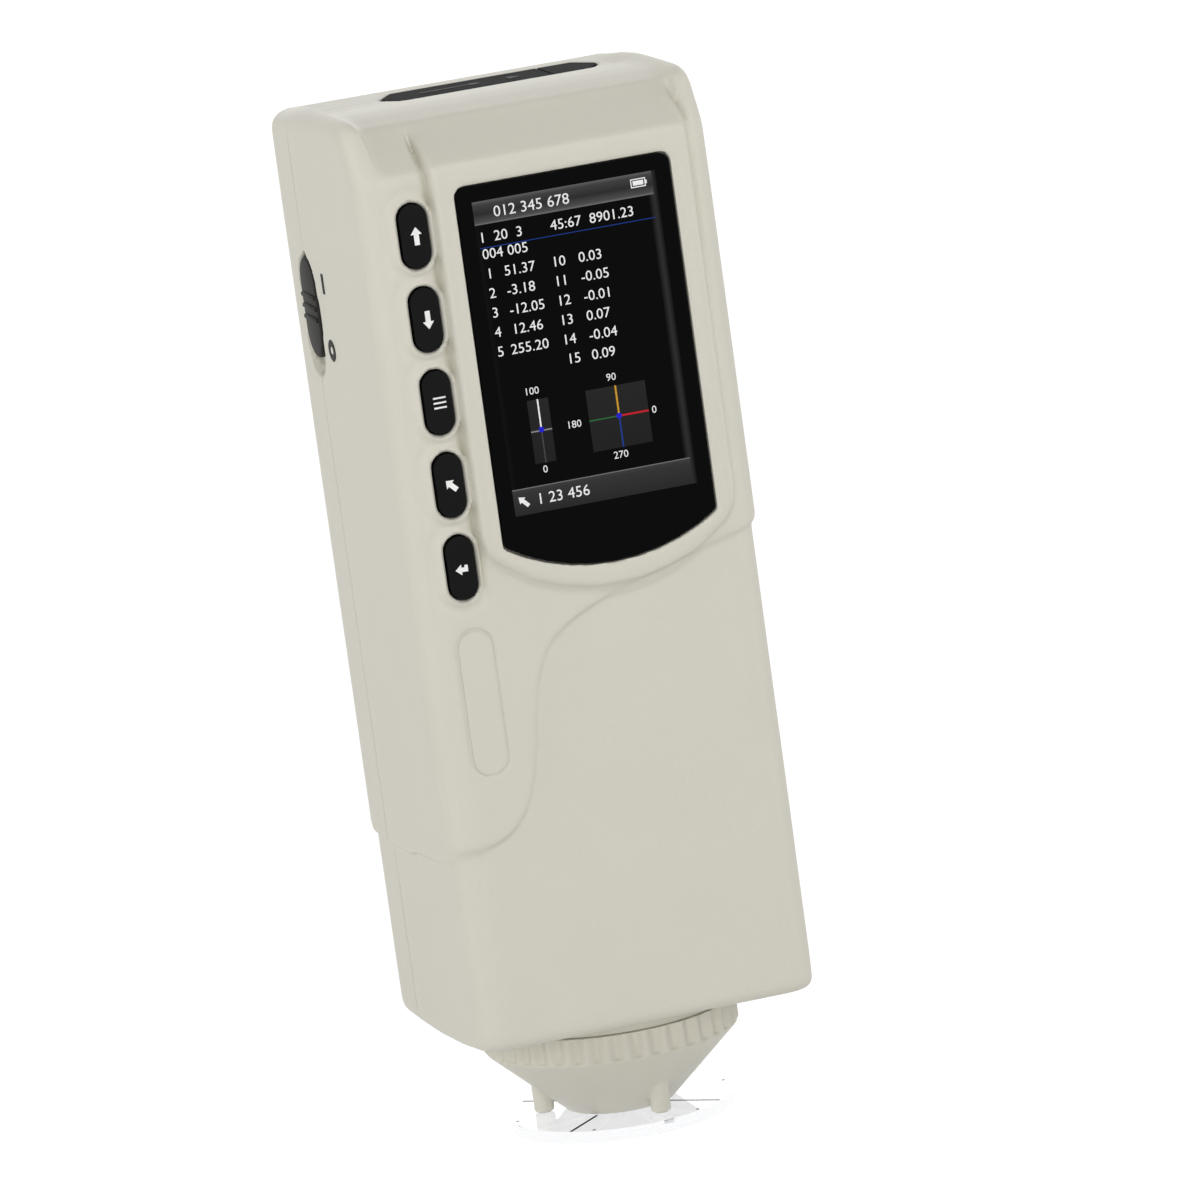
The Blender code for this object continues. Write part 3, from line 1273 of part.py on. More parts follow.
def sensor_board():
    low = tube_top() + FIT_GAP
    board = box(span(0, SENSOR_BOARD_SIZE), span(0, SENSOR_BOARD_SIZE), (low, low + BOARD_THICKNESS))
    chip = box(span(0, SENSOR_CHIP_SIZE), span(0, SENSOR_CHIP_SIZE),
               (low + BOARD_THICKNESS / 2, low + BOARD_THICKNESS + SENSOR_CHIP_HEIGHT))
    return part(join(board, chip), "sensor_board", BOARD)


# Cap that turns on the spigot: a scalloped ring, a cone and three posts that hold the plate
def measuring_cap():
    ring_bottom = CAP_TOP - CAP_RING_HEIGHT
    bore = SPIGOT_RADIUS + FIT_GAP
    neck = BODY_BOTTOM - SPIGOT_DROP - FIT_GAP
    rim_bottom = ring_bottom - CAP_RIM_HEIGHT
    slant = (CAP_RING_RADIUS - CAP_TIP_RADIUS) / (rim_bottom - CAP_BOTTOM)
    inner_foot = bore - (neck - CAP_BOTTOM - CAP_WALL) * slant
    profile = [(bore, CAP_TOP), (CAP_RING_RADIUS, CAP_TOP), (CAP_RING_RADIUS, rim_bottom),
               (CAP_TIP_RADIUS, CAP_BOTTOM),
               (PLATE_BORE_RADIUS, CAP_BOTTOM), (PLATE_BORE_RADIUS, CAP_BOTTOM + CAP_WALL),
               (inner_foot, CAP_BOTTOM + CAP_WALL), (bore, neck)]
    cap = turned(profile, closed=True, sides=CAP_SCALLOPS * 2)
    for i in range(CAP_SCALLOPS):
        angle = 2 * math.pi * i / CAP_SCALLOPS
        reach = CAP_RING_RADIUS + SCALLOP_RADIUS - SCALLOP_DEPTH
        x, y = reach * math.cos(angle), reach * math.sin(angle)
        low, high = ring_bottom, CAP_TOP + OVERRUN
        cut(cap, rod(SCALLOP_RADIUS, (x, y, low), (x, y, high), 2 * ROUND_STEPS - 2))
    for x, y in post_places():
        post = rod(POST_RADIUS, (x, y, CAP_BOTTOM), (x, y, CAP_BOTTOM + POST_HEIGHT))
        low, high = PLATE_THICKNESS - PEG_LENGTH, CAP_BOTTOM + PEG_LENGTH
        peg = rod(PEG_RADIUS, (x, y, low), (x, y, high), ROUND_STEPS * 2)
        join(cap, post, peg)
    return part(cap, "measuring_cap", HOUSING)


def post_places():
    return [(POST_CIRCLE_RADIUS * math.cos(math.radians(a)), POST_CIRCLE_RADIUS * math.sin(math.radians(a)))
            for a in POST_ANGLES]


def locating_plate():
    profile = [(PLATE_BORE_RADIUS, PLATE_THICKNESS), (PLATE_RADIUS, PLATE_THICKNESS), (PLATE_RADIUS, 0),
               (PLATE_BORE_RADIUS, 0)]
    plate = turned(profile, closed=True)
    for x, y in post_places():
        cut(plate, rod(PEG_RADIUS + FIT_GAP, (x, y, PLATE_THICKNESS - PEG_LENGTH - FIT_GAP),
                       (x, y, PLATE_THICKNESS + OVERRUN), ROUND_STEPS * 2))
    return part(plate, "locating_plate", CLEAR)


def build():
    clear_scene()
    body = cut(casing(), body_form(SHELL))
    twin = body.copy()
    twin.data = body.data.copy()
    tool_owner = CUTTERS.objects
    tool_owner.link(twin)
    front_shell(body)
    rear_shell(twin)
    battery_cover()
    display_window()
    display_gasket()
    lcd_frame()
    lcd_panel()
    lcd_backlight()
    for name, (x, z) in zip(KEY_NAMES, key_places()):
        key(name, x, z)
    measure_key()
    key_switches()
    main_board()
    board_screws()
    buzzer()
    power_slider()
    power_switch_body()
    usb, jack = strip_ranges()
    usb_hole, jack_hole = port_openings()
    port_cover("usb_cover", usb, True, usb_hole, usb[1])
    port_cover("power_cover", jack, False, jack_hole, jack[0])
    port_block()
    sockets()
    case_screws()
    battery_tray()
    battery_cell()
    battery_contacts()
    optical_housing()
    housing_screws()
    integrating_sphere()
    aperture_tube()
    aperture_glass()
    led_board()
    sensor_tube()
    sensor_lens()
    sensor_board()
    measuring_cap()
    locating_plate()


build()
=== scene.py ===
import json
import math

import bpy
import numpy as np
from mathutils import Matrix, Vector


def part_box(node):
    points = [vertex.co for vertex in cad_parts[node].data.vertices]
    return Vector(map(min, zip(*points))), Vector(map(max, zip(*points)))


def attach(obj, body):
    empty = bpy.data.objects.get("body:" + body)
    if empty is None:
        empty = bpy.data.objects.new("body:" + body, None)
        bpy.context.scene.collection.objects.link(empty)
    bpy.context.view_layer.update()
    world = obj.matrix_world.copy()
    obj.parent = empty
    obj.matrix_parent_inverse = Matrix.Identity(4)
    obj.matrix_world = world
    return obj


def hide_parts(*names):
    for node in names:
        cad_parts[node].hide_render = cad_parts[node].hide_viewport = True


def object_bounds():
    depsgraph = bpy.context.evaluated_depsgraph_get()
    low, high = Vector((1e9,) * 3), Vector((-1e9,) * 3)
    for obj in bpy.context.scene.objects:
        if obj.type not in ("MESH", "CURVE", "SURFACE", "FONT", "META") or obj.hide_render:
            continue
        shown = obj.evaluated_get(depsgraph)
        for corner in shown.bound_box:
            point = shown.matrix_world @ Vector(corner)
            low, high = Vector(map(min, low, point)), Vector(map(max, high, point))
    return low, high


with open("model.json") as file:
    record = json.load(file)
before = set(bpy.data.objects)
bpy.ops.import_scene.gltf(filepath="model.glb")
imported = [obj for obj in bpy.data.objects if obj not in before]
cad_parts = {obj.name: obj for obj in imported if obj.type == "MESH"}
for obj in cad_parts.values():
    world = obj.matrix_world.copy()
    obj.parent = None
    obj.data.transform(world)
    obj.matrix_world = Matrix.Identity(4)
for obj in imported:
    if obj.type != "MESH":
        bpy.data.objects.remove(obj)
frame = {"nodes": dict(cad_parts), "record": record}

mm = 0.001
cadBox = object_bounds()
nodes = frame["nodes"]
print("frame loaded:", len(nodes), "nodes")


# An sRGB colour written in hex, as the linear numbers that shaders work in
def linear(hexColour):
    parts = [int(hexColour[i:i + 2], 16) / 255 for i in (1, 3, 5)]
    return [p / 12.92 if p <= 0.04045 else ((p + 0.055) / 1.055) ** 2.4 for p in parts] + [1.0]


# The same linear colour, lighter or darker
def toned(colour, share):
    return [min(1, c * share) for c in colour[:3]] + [1]


# Adds a shader node, sets its settings or unlinked inputs, links the rest and places a ramp's stops
def addNode(tree, kind, settings=None, links=None, stops=()):
    node = tree.nodes.new("ShaderNode" + kind)
    for name, value in (settings or {}).items():
        if isinstance(name, str) and hasattr(node, name):
            setattr(node, name, value)
        else:
            node.inputs[name].default_value = value
    for name, source in (links or {}).items():
        tree.links.new(source, node.inputs[name])
    if stops:
        elements = node.color_ramp.elements
        while len(elements) < len(stops):
            elements.new(0.5)
        for element, (place, colour) in zip(elements, stops):
            element.position, element.color = place, colour
    return node


# A material with its shader and the piece's own coordinates ready to use
def newMaterial(name, **inputs):
    material = bpy.data.materials.new(name)
    material.use_nodes = True
    tree = material.node_tree
    shader = tree.nodes["Principled BSDF"]
    for key, value in inputs.items():
        shader.inputs[key.replace("_", " ")].default_value = value
    where = addNode(tree, "TexCoord").outputs["Object"]
    return material, tree, shader, where


# Gives the shader a gloss between two roughnesses and a relief, both read from one pattern
def glossAndRelief(tree, shader, pattern, look):
    if "gloss" in look:
        gloss = addNode(tree, "MapRange", {"To Min": look["gloss"][0], "To Max": look["gloss"][1]},
                        {"Value": pattern})
        tree.links.new(gloss.outputs["Result"], shader.inputs["Roughness"])
    if "relief" in look:
        bump = addNode(tree, "Bump", {"Strength": look["bump"], "Distance": look["relief"] * mm},
                       {"Height": pattern})
        tree.links.new(bump.outputs["Normal"], shader.inputs["Normal"])


def deselect():
    for obj in bpy.context.selected_objects:
        obj.select_set(False)


def pick(obj):
    deselect()
    obj.select_set(True)
    bpy.context.view_layer.objects.active = obj


# Opens the active piece for editing, with all of it selected
def editAll():
    bpy.ops.object.mode_set(mode="EDIT")
    bpy.ops.mesh.select_all(action="SELECT")


# Adds a modifier to the active piece and applies it
def applyModifier(obj, kind, **settings):
    modifier = obj.modifiers.new(kind.lower(), kind)
    for name, value in settings.items():
        setattr(modifier, name, value)
    bpy.ops.object.modifier_apply(modifier=modifier.name)


# Puts the place into the mesh, then gives the piece its finish and the body it rides on
def finishPiece(obj, name, body, material, smoothTo=None):
    pick(obj)
    bpy.ops.object.transform_apply()
    if smoothTo:
        bpy.ops.object.shade_smooth_by_angle(angle=math.radians(smoothTo))
    obj.name = name
    obj.data.name = name
    obj.data.materials.clear()
    obj.data.materials.append(material)
    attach(obj, body)


def joinPieces(pieces):
    deselect()
    for piece in pieces:
        piece.select_set(True)
    bpy.context.view_layer.objects.active = pieces[0]
    if len(pieces) > 1:
        bpy.ops.object.join()
    return bpy.context.view_layer.objects.active


# A block with softened edges, given in metres
def softBlock(place, size, edge, segments, turn=(0, 0, 0)):
    bpy.ops.mesh.primitive_cube_add(size=1, location=place, rotation=turn)
    block = bpy.context.object
    block.scale = size
    bpy.ops.object.transform_apply()
    editAll()
    bpy.ops.mesh.bevel(offset=edge, segments=segments, affect="EDGES")
    bpy.ops.object.mode_set(mode="OBJECT")
    return block


# A flat outline in millimetres on the plane facing -Y, made solid towards the viewer
def facePlate(name, outline, y, thick):
    mesh = bpy.data.meshes.new(name)
    obj = bpy.data.objects.new(name, mesh)
    bpy.context.scene.collection.objects.link(obj)
    mesh.from_pydata([(x * mm, y * mm, z * mm) for x, z in outline], [], [tuple(range(len(outline)))])
    pick(obj)
    editAll()
    bpy.ops.mesh.extrude_region_move(TRANSFORM_OT_translate={"value": (0, -thick * mm, 0)})
    bpy.ops.mesh.select_all(action="SELECT")
    bpy.ops.mesh.normals_make_consistent()
    bpy.ops.object.mode_set(mode="OBJECT")
    return obj


# A long outline with two round ends, each in the given number of steps
def roundEnded(centre, radius, straight, steps):
    outline = []
    for end, first in ((1, 0), (-1, 180)):
        for i in range(steps + 1):
            turn = math.radians(first + 180 / steps * i)
            outline.append((centre[0] + radius * math.cos(turn),
                            centre[1] + end * straight + radius * math.sin(turn)))
    return outline


def turnOutline(outline, degrees, centre):
    c, s = math.cos(math.radians(degrees)), math.sin(math.radians(degrees))
    return [(centre[0] + x * c - z * s, centre[1] + x * s + z * c) for x, z in outline]


# A key's middle, end radius and half straight length, seen from the front
def keyMeasures(node):
    low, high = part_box(node)
    centre = ((low.x + high.x) / 2 / mm, (low.z + high.z) / 2 / mm)
    radius = (high.x - low.x) / 2 / mm
    return centre, radius, (high.z - low.z) / 2 / mm - radius


deselect()

# What the moulded finishes share: the grain's detail, how much painted shade darkens its hollows, and its
# relief.
# Each grain is drawn somewhat coarser than it is, so that it shows.
mouldLook = {"detail": 3.0, "spread": 0.6, "patchDetail": 2.0, "patchStops": (0.35, 0.65),
             "hollowShade": 0.965, "hollowShadeStops": (0.3, 0.7), "bump": 0.35, "level": 0.5}

# Moulded ABS: a spark-eroded mould leaves a fine even grain, and broad faces vary a little in tone
housingLook = {"colour": "#D1CEC1", "tone": 0.006, "grain": 0.42, "relief": 0.022, "patch": 14.0,
               "gloss": (0.42, 0.54), "level": 0.38}


def mouldedSurface(name, look):
    look = dict(mouldLook, **look)
    material, tree, shader, where = newMaterial(name, IOR=1.53, Specular_IOR_Level=look["level"])
    base = linear(look["colour"])
    grain = addNode(tree, "TexNoise", {"Scale": 1 / (look["grain"] * mm), "Detail": look["detail"],
                    "Roughness": look["spread"]}, {"Vector": where})
    patch = addNode(tree, "TexNoise", {"Scale": 1 / (look["patch"] * mm), "Detail": look["patchDetail"]},
                    {"Vector": where})
    low, high = toned(base, 1 - look["tone"]), toned(base, 1 + look["tone"])
    tone = addNode(tree, "ValToRGB", links={"Fac": patch.outputs["Fac"]},
                   stops=list(zip(look["patchStops"], (low, high))))
    # Painted shade: where the grain's relief is low, its hollows are darkened in the colour
    hollow = toned((1, 1, 1), look["hollowShade"])
    hollowShade = addNode(tree, "ValToRGB", links={"Fac": grain.outputs["Fac"]},
                    stops=list(zip(look["hollowShadeStops"], (hollow, [1, 1, 1, 1]))))
    mixed = addNode(tree, "Mix", {"data_type": "RGBA", "blend_type": "MULTIPLY", "Factor": 1.0},
                    {6: tone.outputs["Color"], 7: hollowShade.outputs["Color"]})
    tree.links.new(mixed.outputs[2], shader.inputs["Base Color"])
    glossAndRelief(tree, shader, grain.outputs["Fac"], look)
    return material


housing = mouldedSurface("mouldedAbsWarmGrey", housingLook)

# Satin ABS for the keys and the switch: darker, smoother, with a finer grain
keyLook = {"colour": "#0A0A0A", "tone": 0.10, "grain": 0.22, "relief": 0.005, "patch": 6.0,
           "gloss": (0.34, 0.44), "level": 0.08}
switchLook = {"colour": "#2A2927", "tone": 0.05, "grain": 0.25, "relief": 0.008, "patch": 5.0,
              "gloss": (0.42, 0.52), "level": 0.04}
# Moulded rubber: dull, with hardly any gloss
rubberLook = {"colour": "#242424", "tone": 0.06, "grain": 0.30, "relief": 0.014, "patch": 7.0,
              "gloss": (0.62, 0.78), "level": 0.02}
# Matt black nylon of the optical parts, which swallows stray light
opticLook = {"colour": "#161616", "tone": 0.08, "grain": 0.30, "relief": 0.010, "patch": 8.0,
             "gloss": (0.60, 0.75)}
# White polycarbonate of the integrating sphere and the backlight: even and diffuse
innerWhiteLook = {"colour": "#EDEDEA", "tone": 0.015, "grain": 0.30, "relief": 0.006, "patch": 9.0,
                  "gloss": (0.70, 0.85)}
# Open-cell foam of the gasket: coarse and very dull
foamLook = {"colour": "#1C1C1C", "tone": 0.20, "grain": 0.45, "relief": 0.080, "patch": 3.0,
            "gloss": (0.85, 0.95)}
# Shrunk wrap of the cell: smooth, with broad soft reflections
wrapLook = {"colour": "#2A5C8C", "tone": 0.05, "grain": 0.8, "relief": 0.006, "patch": 12.0,
            "gloss": (0.28, 0.36)}
blackKey = mouldedSurface("mouldedAbsSatinBlack", keyLook)
switchGrey = mouldedSurface("mouldedAbsDarkGrey", switchLook)
coverRubber = mouldedSurface("mouldedRubberCharcoal", rubberLook)
opticBlack = mouldedSurface("mouldedNylonMattBlack", opticLook)
innerWhite = mouldedSurface("mouldedPolycarbonateWhite", innerWhiteLook)
gasketFoam = mouldedSurface("openCellFoamBlack", foamLook)
cellWrap = mouldedSurface("shrinkWrapBlue", wrapLook)

# Hard-coated acrylic lens, printed black behind: almost mirror smooth, with faint wiping marks.
# Its coating cuts the reflections, and so does the LCD glass's.
lensLook = {"colour": "#060607", "gloss": (0.05, 0.12), "smear": 9.0, "level": 0.03,
            "detail": 4.0, "stretch": 0.35}
lcdLook = dict(lensLook, colour="#16181B", gloss=(0.08, 0.16), smear=12.0)


def polishedLens(name, look):
    material, tree, shader, where = newMaterial(
        name, IOR=1.49, Base_Color=linear(look["colour"]), Specular_IOR_Level=look["level"])
    stretch = addNode(tree, "Mapping", {"Scale": (1.0, 1.0, look["stretch"])}, {"Vector": where})
    smear = addNode(tree, "TexNoise", {"Scale": 1 / (look["smear"] * mm), "Detail": look["detail"]},
                    {"Vector": stretch.outputs["Vector"]})
    glossAndRelief(tree, shader, smear.outputs["Fac"], look)
    return material


lensBlack = polishedLens("hardCoatedAcrylicBlack", lensLook)
lcdGlass = polishedLens("lcdGlassDark", lcdLook)

waveRadians = 20  # a wave texture at scale 1 turns through this many radians in a metre


# The scale that gives a wave texture waves of this length in millimetres
def waveScale(length):
    return 2 * math.pi / (waveRadians * length * mm)


# Clear cast acrylic, turned and polished: water clear, with the faint rings of the lathe, which are
# drawn coarser than they are so that they show
# Its light grey base colour is painted shade, which stands in for the grey reflections seen inside the
# plate
acrylicLook = {"colour": "#E2E3E5", "ring": 1.131, "relief": 0.0006, "roughness": 0.03, "bump": 0.15}


def clearAcrylic(name, look):
    material, tree, shader, where = newMaterial(
        name, IOR=1.49, Base_Color=linear(look["colour"]), Roughness=look["roughness"],
        Transmission_Weight=1.0)
    rings = addNode(tree, "TexWave", {"wave_type": "RINGS", "rings_direction": "Z", "Distortion": 0.0,
                    "Scale": waveScale(look["ring"])}, {"Vector": where})
    glossAndRelief(tree, shader, rings.outputs["Fac"], look)
    return material


acrylic = clearAcrylic("castAcrylicPolished", acrylicLook)

# Drawn and plated metal: fine lines along Z and small changes of polish
steelLook = {"colour": "#C4C4C2", "gloss": (0.23, 0.39), "line": 0.12, "stretch": 0.06, "detail": 2.0,
             "bump": 0.2, "relief": 0.004}
nickelLook = dict(steelLook, colour="#D2CDC2", gloss=(0.17, 0.33))


def drawnMetal(name, look):
    material, tree, shader, where = newMaterial(name, Metallic=1.0, Base_Color=linear(look["colour"]))
    stretch = addNode(tree, "Mapping", {"Scale": (1.0, 1.0, look["stretch"])}, {"Vector": where})
    lines = addNode(tree, "TexNoise", {"Scale": 1 / (look["line"] * mm), "Detail": look["detail"]},
                    {"Vector": stretch.outputs["Vector"]})
    glossAndRelief(tree, shader, lines.outputs["Fac"], look)
    return material


steel = drawnMetal("zincPlatedSteelDrawn", steelLook)
nickel = drawnMetal("nickelPlatedSpringSteel", nickelLook)

# Fibreglass circuit board under green solder resist: its weave shows faintly through the gloss, and is
# drawn coarser than it is so that it shows. Diagonal waves come out longer than their scale says.
boardLook = {"colour": "#1E5B38", "roughness": 0.35, "weave": 3.142, "relief": 0.01, "shade": 0.86,
             "wander": 1.0, "bump": 0.2}


def resistBoard(name, look):
    material, tree, shader, where = newMaterial(name, IOR=1.55, Roughness=look["roughness"])
    weave = addNode(tree, "TexWave", {"wave_type": "BANDS", "bands_direction": "DIAGONAL",
                    "Distortion": look["wander"], "Scale": waveScale(look["weave"])}, {"Vector": where})
    base = linear(look["colour"])
    tone = addNode(tree, "ValToRGB", links={"Fac": weave.outputs["Fac"]},
                   stops=[(0.0, toned(base, look["shade"])), (1.0, base)])
    tree.links.new(tone.outputs["Color"], shader.inputs["Base Color"])
    glossAndRelief(tree, shader, weave.outputs["Fac"], look)
    return material


board = resistBoard("fibreglassGreenResist", boardLook)

# Each slot of the record has its finish here
finishes = {
    "housing": housing, "black_plastic": blackKey, "switch_grey": switchGrey, "rubber": coverRubber,
    "window": lensBlack, "foam": gasketFoam, "lcd": lcdGlass, "white_plastic": innerWhite, "steel": steel,
    "nickel": nickel, "cell": cellWrap, "board": board, "optic_black": opticBlack, "clear": acrylic,
}
slotOf = {part["node"]: part["material_slot"] for part in frame["record"]["subparts"]}
for name, obj in nodes.items():
    for place in obj.material_slots:
        place.material = finishes[slotOf[name]]
print("finishes:", len(finishes), "on", len(slotOf), "nodes")

# The casing is shown by a finely remeshed copy of its two halves, so that its edges can be rounded
# as the mould rounds them. It is cut again at the parting line.
skinLook = {"voxel": 0.5, "overlap": 0.4, "rimDepth": 0.02, "partingLine": 0.05, "triangles": 300000,
            "lightPasses": 3, "edgePasses": 12, "formPasses": 26, "smoothTo": 40}

# How far each place gives way, from 0, which holds an edge crisp, to 1, which rounds it fully.
# A pair of values says where a share starts to rise and where it is full.
giveLook = {"steps": 10, "middle": (0, 0.75, 114), "half": (35.8, 35.2, 92), "outer": (0.02, 0.2),
            "lightAway": (0.1, 0.9), "bodyCrisp": 0.6, "bodyTop": (108, 114), "bodyFoot": (28, 34),
            "edgeAway": (0.7, 2.2), "rimZ": (106, 110), "rimAway": (6.5, 8.5), "rimY": -25,
            "sideX": (29, 32), "keepZ": 65, "keepReach": (10, 14),
            "formAway": (1.0, 4.2), "headZ": (187, 194), "footZ": (27, 33), "cornerReach": (3.5, 8)}

# Past these places a point lies on the front, the top, the left side, the back or the foot.
# The last value stands for the distance on a face without openings.
faceLook = {"frontY": -28, "topZ": 200, "leftX": -31, "backY": 30, "footZ": 26, "spigotRadius": 21,
            "far": 50.0}
windowLook = {"cornerRise": 6.3}
blackKeys = ["key_up", "key_down", "key_menu", "key_back", "key_enter"]
allKeys = blackKeys + ["measure_key"]


# Rises softly from 0 to 1 between two values
def ramp(values, start, end):
    t = np.clip((values - start) / (end - start), 0, 1)
    return t * t * (3 - 2 * t)


# A soft bump of height 1 round a place
def swell(values, place, wide):
    return np.exp(-((values - place) / wide) ** 2)


def readPoints(obj):
    data = [np.empty(len(obj.data.vertices) * 3, dtype=np.float32) for _ in range(2)]
    obj.data.vertices.foreach_get("co", data[0])
    obj.data.vertices.foreach_get("normal", data[1])
    return data[0].reshape(-1, 3) / mm, data[1].reshape(-1, 3)


def writePoints(obj, points):
    obj.data.vertices.foreach_set("co", (points * mm).ravel().astype(np.float32))
    obj.data.update()


# How far a place is outside a key's outline, seen from the front
def fromKey(points, node):
    centre, radius, straight = keyMeasures(node)
    along = np.maximum(np.abs(points[:, 2] - centre[1]) - straight, 0)
    return np.hypot(points[:, 0] - centre[0], along) - radius


# How far a place is outside the window, whose lower edge is an arc that rises towards its corners
def fromWindow(points):
    low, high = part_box("display_window")
    half = (high.x - low.x) / 2 / mm
    across = points[:, 0] - (low.x + high.x) / 2 / mm
    bottom = low.z / mm + windowLook["cornerRise"] * np.minimum(np.abs(across) / half, 1) ** 2
    up = np.maximum(points[:, 2] - high.z / mm, bottom - points[:, 2])
    outside = np.hypot(np.maximum(np.abs(across) - half, 0), np.maximum(up, 0))
    return np.where((np.abs(across) < half) & (up < 0), -1.0, outside)


def fromBox(points, node, axes):
    low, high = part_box(node)
    out = [np.maximum(np.maximum(low[a] / mm - points[:, a], points[:, a] - high[a] / mm), 0) for a in axes]
    return np.hypot(*out)


# Distance to the nearest opening's edge, so that keys, lens, covers and switch keep their close fit
def fromOpenings(points):
    look = faceLook
    x, y, z = points.T
    openings = [(y < look["frontY"], fromKey(points, node)) for node in allKeys]
    openings += [(y < look["frontY"], fromWindow(points)),
                 (z > look["topZ"], fromBox(points, "usb_cover", (0, 1))),
                 (z > look["topZ"], fromBox(points, "power_cover", (0, 1))),
                 (x < look["leftX"], fromBox(points, "power_slider", (1, 2))),
                 (y > look["backY"], fromBox(points, "battery_cover", (0, 2))),
                 (z < look["footZ"], np.hypot(x, y) - look["spigotRadius"])]
    nearest = np.full(len(points), look["far"])
    for sameFace, away in openings:
        nearest = np.where(sameFace, np.minimum(nearest, np.maximum(away, 0)), nearest)
    return nearest


# Only the outer skin is shaped: it faces away from the casing's middle
def outerShare(points, normals):
    way = (points - np.array(giveLook["middle"])) / np.array(giveLook["half"])
    return ramp(np.sum(way * normals, axis=1), *giveLook["outer"])


# Every edge is broken a little, and those of the lower body less
def lightShare(points, normals):
    look = giveLook
    body = (1 - ramp(points[:, 2], *look["bodyTop"])) * ramp(points[:, 2], *look["bodyFoot"])
    return ramp(fromOpenings(points), *look["lightAway"]) * (1 - look["bodyCrisp"] * body)


# The display's raised rim and the long side edges give way more
def edgeShare(points, normals):
    look = giveLook
    x, y, z = points.T
    rim = ramp(z, *look["rimZ"]) * (1 - ramp(fromWindow(points), *look["rimAway"])) * (y < look["rimY"])
    sides = ramp(np.abs(x), *look["sideX"]) * ramp(np.abs(z - look["keepZ"]), *look["keepReach"])
    share = np.maximum(rim, sides) * outerShare(points, normals)
    return ramp(fromOpenings(points), *look["edgeAway"]) * share


# The head, the foot and the sleeve's low corner give way most
def formShare(points, normals):
    look, corner = giveLook, cornerLook
    x, y, z = points.T
    near = np.sqrt((x - corner["x"]) ** 2 + (y - corner["y"] + corner["forward"]) ** 2
                   + (z - corner["z"] + corner["down"]) ** 2)
    ends = np.maximum(np.maximum(ramp(z, *look["headZ"]), 1 - ramp(z, *look["footZ"])),
                      1 - ramp(near, *look["cornerReach"]))
    return ramp(fromOpenings(points), *look["formAway"]) * ends * outerShare(points, normals)


# Smooths the active piece by its places' shares, which become a vertex group's weights
def soften(obj, share, passes):
    points, normals = readPoints(obj)
    steps = giveLook["steps"]
    levels = np.rint(share(points, normals) * steps).astype(int)
    group = obj.vertex_groups.new(name="give")
    for level in range(1, steps + 1):
        group.add(np.flatnonzero(levels == level).tolist(), level / steps, "REPLACE")
    applyModifier(obj, "SMOOTH", factor=0.5, iterations=passes, vertex_group="give")
    obj.vertex_groups.clear()


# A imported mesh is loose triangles, so its copy is merged
def copyOf(name, node):
    obj = bpy.data.objects.new(name, nodes[node].data.copy())
    bpy.context.scene.collection.objects.link(obj)
    pick(obj)
    editAll()
    bpy.ops.mesh.remove_doubles(threshold=1e-6)
    bpy.ops.object.mode_set(mode="OBJECT")
    return obj


def remesh(obj, voxel):
    pick(obj)
    applyModifier(obj, "REMESH", mode="VOXEL", voxel_size=voxel * mm)


def thin(obj, triangles):
    pick(obj)
    faces = sum(len(face.vertices) - 2 for face in obj.data.polygons)
    if faces > triangles:
        applyModifier(obj, "DECIMATE", ratio=triangles / faces)


# A raised lip round each black key and a shallow ditch outside it, both soft
lipLook = {"high": 0.12, "at": 0.5, "wide": 0.4, "ditchDeep": 0.22, "ditchAt": 1.9, "ditchWide": 0.7,
           "frontY": -30, "facing": (0.4, 0.8), "windowAway": (4.2, 5.2)}


def shapeLips(points, normals):
    look = lipLook
    front = (points[:, 1] < look["frontY"]) * ramp(-normals[:, 1], *look["facing"])
    away = np.min([fromKey(points, node) for node in blackKeys], axis=0)
    lip = look["high"] * swell(away, look["at"], look["wide"])
    ditch = look["ditchDeep"] * swell(away, look["ditchAt"], look["ditchWide"])
    points[:, 1] += front * (ditch - lip) * ramp(fromWindow(points), *look["windowAway"])


# The ridge that runs up beside the display from the keys to the top, and a weaker one at the far side
ridgeLook = {"x": -21.3, "deep": 1.3, "ditchAt": -0.7, "ditchWide": 0.6, "high": 0.30, "crestAt": 0.9,
             "crestWide": 0.9, "riseZ": (112, 118), "endY": (-28, -23.0), "frontY": -20,
             "facing": (0.25, 0.5), "farX": 29.9, "farZ": (150, 180), "farShare": 0.6,
             "keysAway": (0.5, 1.0), "leanZ": (195, 199), "lean": 0.8}


def shapeRidge(points, normals):
    look = ridgeLook
    x, y, z = points.T
    facing = ramp(-normals[:, 1], *look["facing"]) * (y < look["frontY"]) * outerShare(points, normals)
    upTo = ramp(z, *look["riseZ"]) * (1 - ramp(y, *look["endY"]))
    far = x > (look["x"] + look["farX"]) / 2
    across = np.where(far, look["farX"] - x, x - look["x"])
    strength = np.where(far, look["farShare"] * ramp(z, *look["farZ"]), 1.0)
    ditch = strength * look["deep"] * swell(across, look["ditchAt"], look["ditchWide"])
    crest = strength * look["high"] * swell(across, look["crestAt"], look["crestWide"])
    clear = ramp(np.min([fromKey(points, node) for node in allKeys], axis=0), *look["keysAway"])
    move = facing * upTo * clear * (ditch - crest)
    points[:, 1] += move
    points[:, 2] -= move * ramp(z, *look["leanZ"]) * look["lean"]  # over the bend it moves down as well


# The slider's pocket, with room for its travel
pocketLook = {"y": 14.55, "z": 165.2, "halfLength": 12.2, "radius": 6.1, "side": -35.8, "deep": 2.0,
              "wall": 0.7, "skin": 3.0, "outer": 0.3}


def shapePocket(points, normals):
    look = pocketLook
    x, y, z = points.T
    run = np.maximum(np.abs(z - look["z"]) - look["halfLength"] + look["radius"], 0)
    inside = 1 - ramp(np.hypot(y - look["y"], run) - look["radius"], -look["wall"], 0)
    left = (x < look["side"] + look["skin"]) & (outerShare(points, normals) > look["outer"]) & (inside > 0)
    points[:, 0] = np.where(left, np.maximum(x, look["side"] + look["deep"] * inside), x)


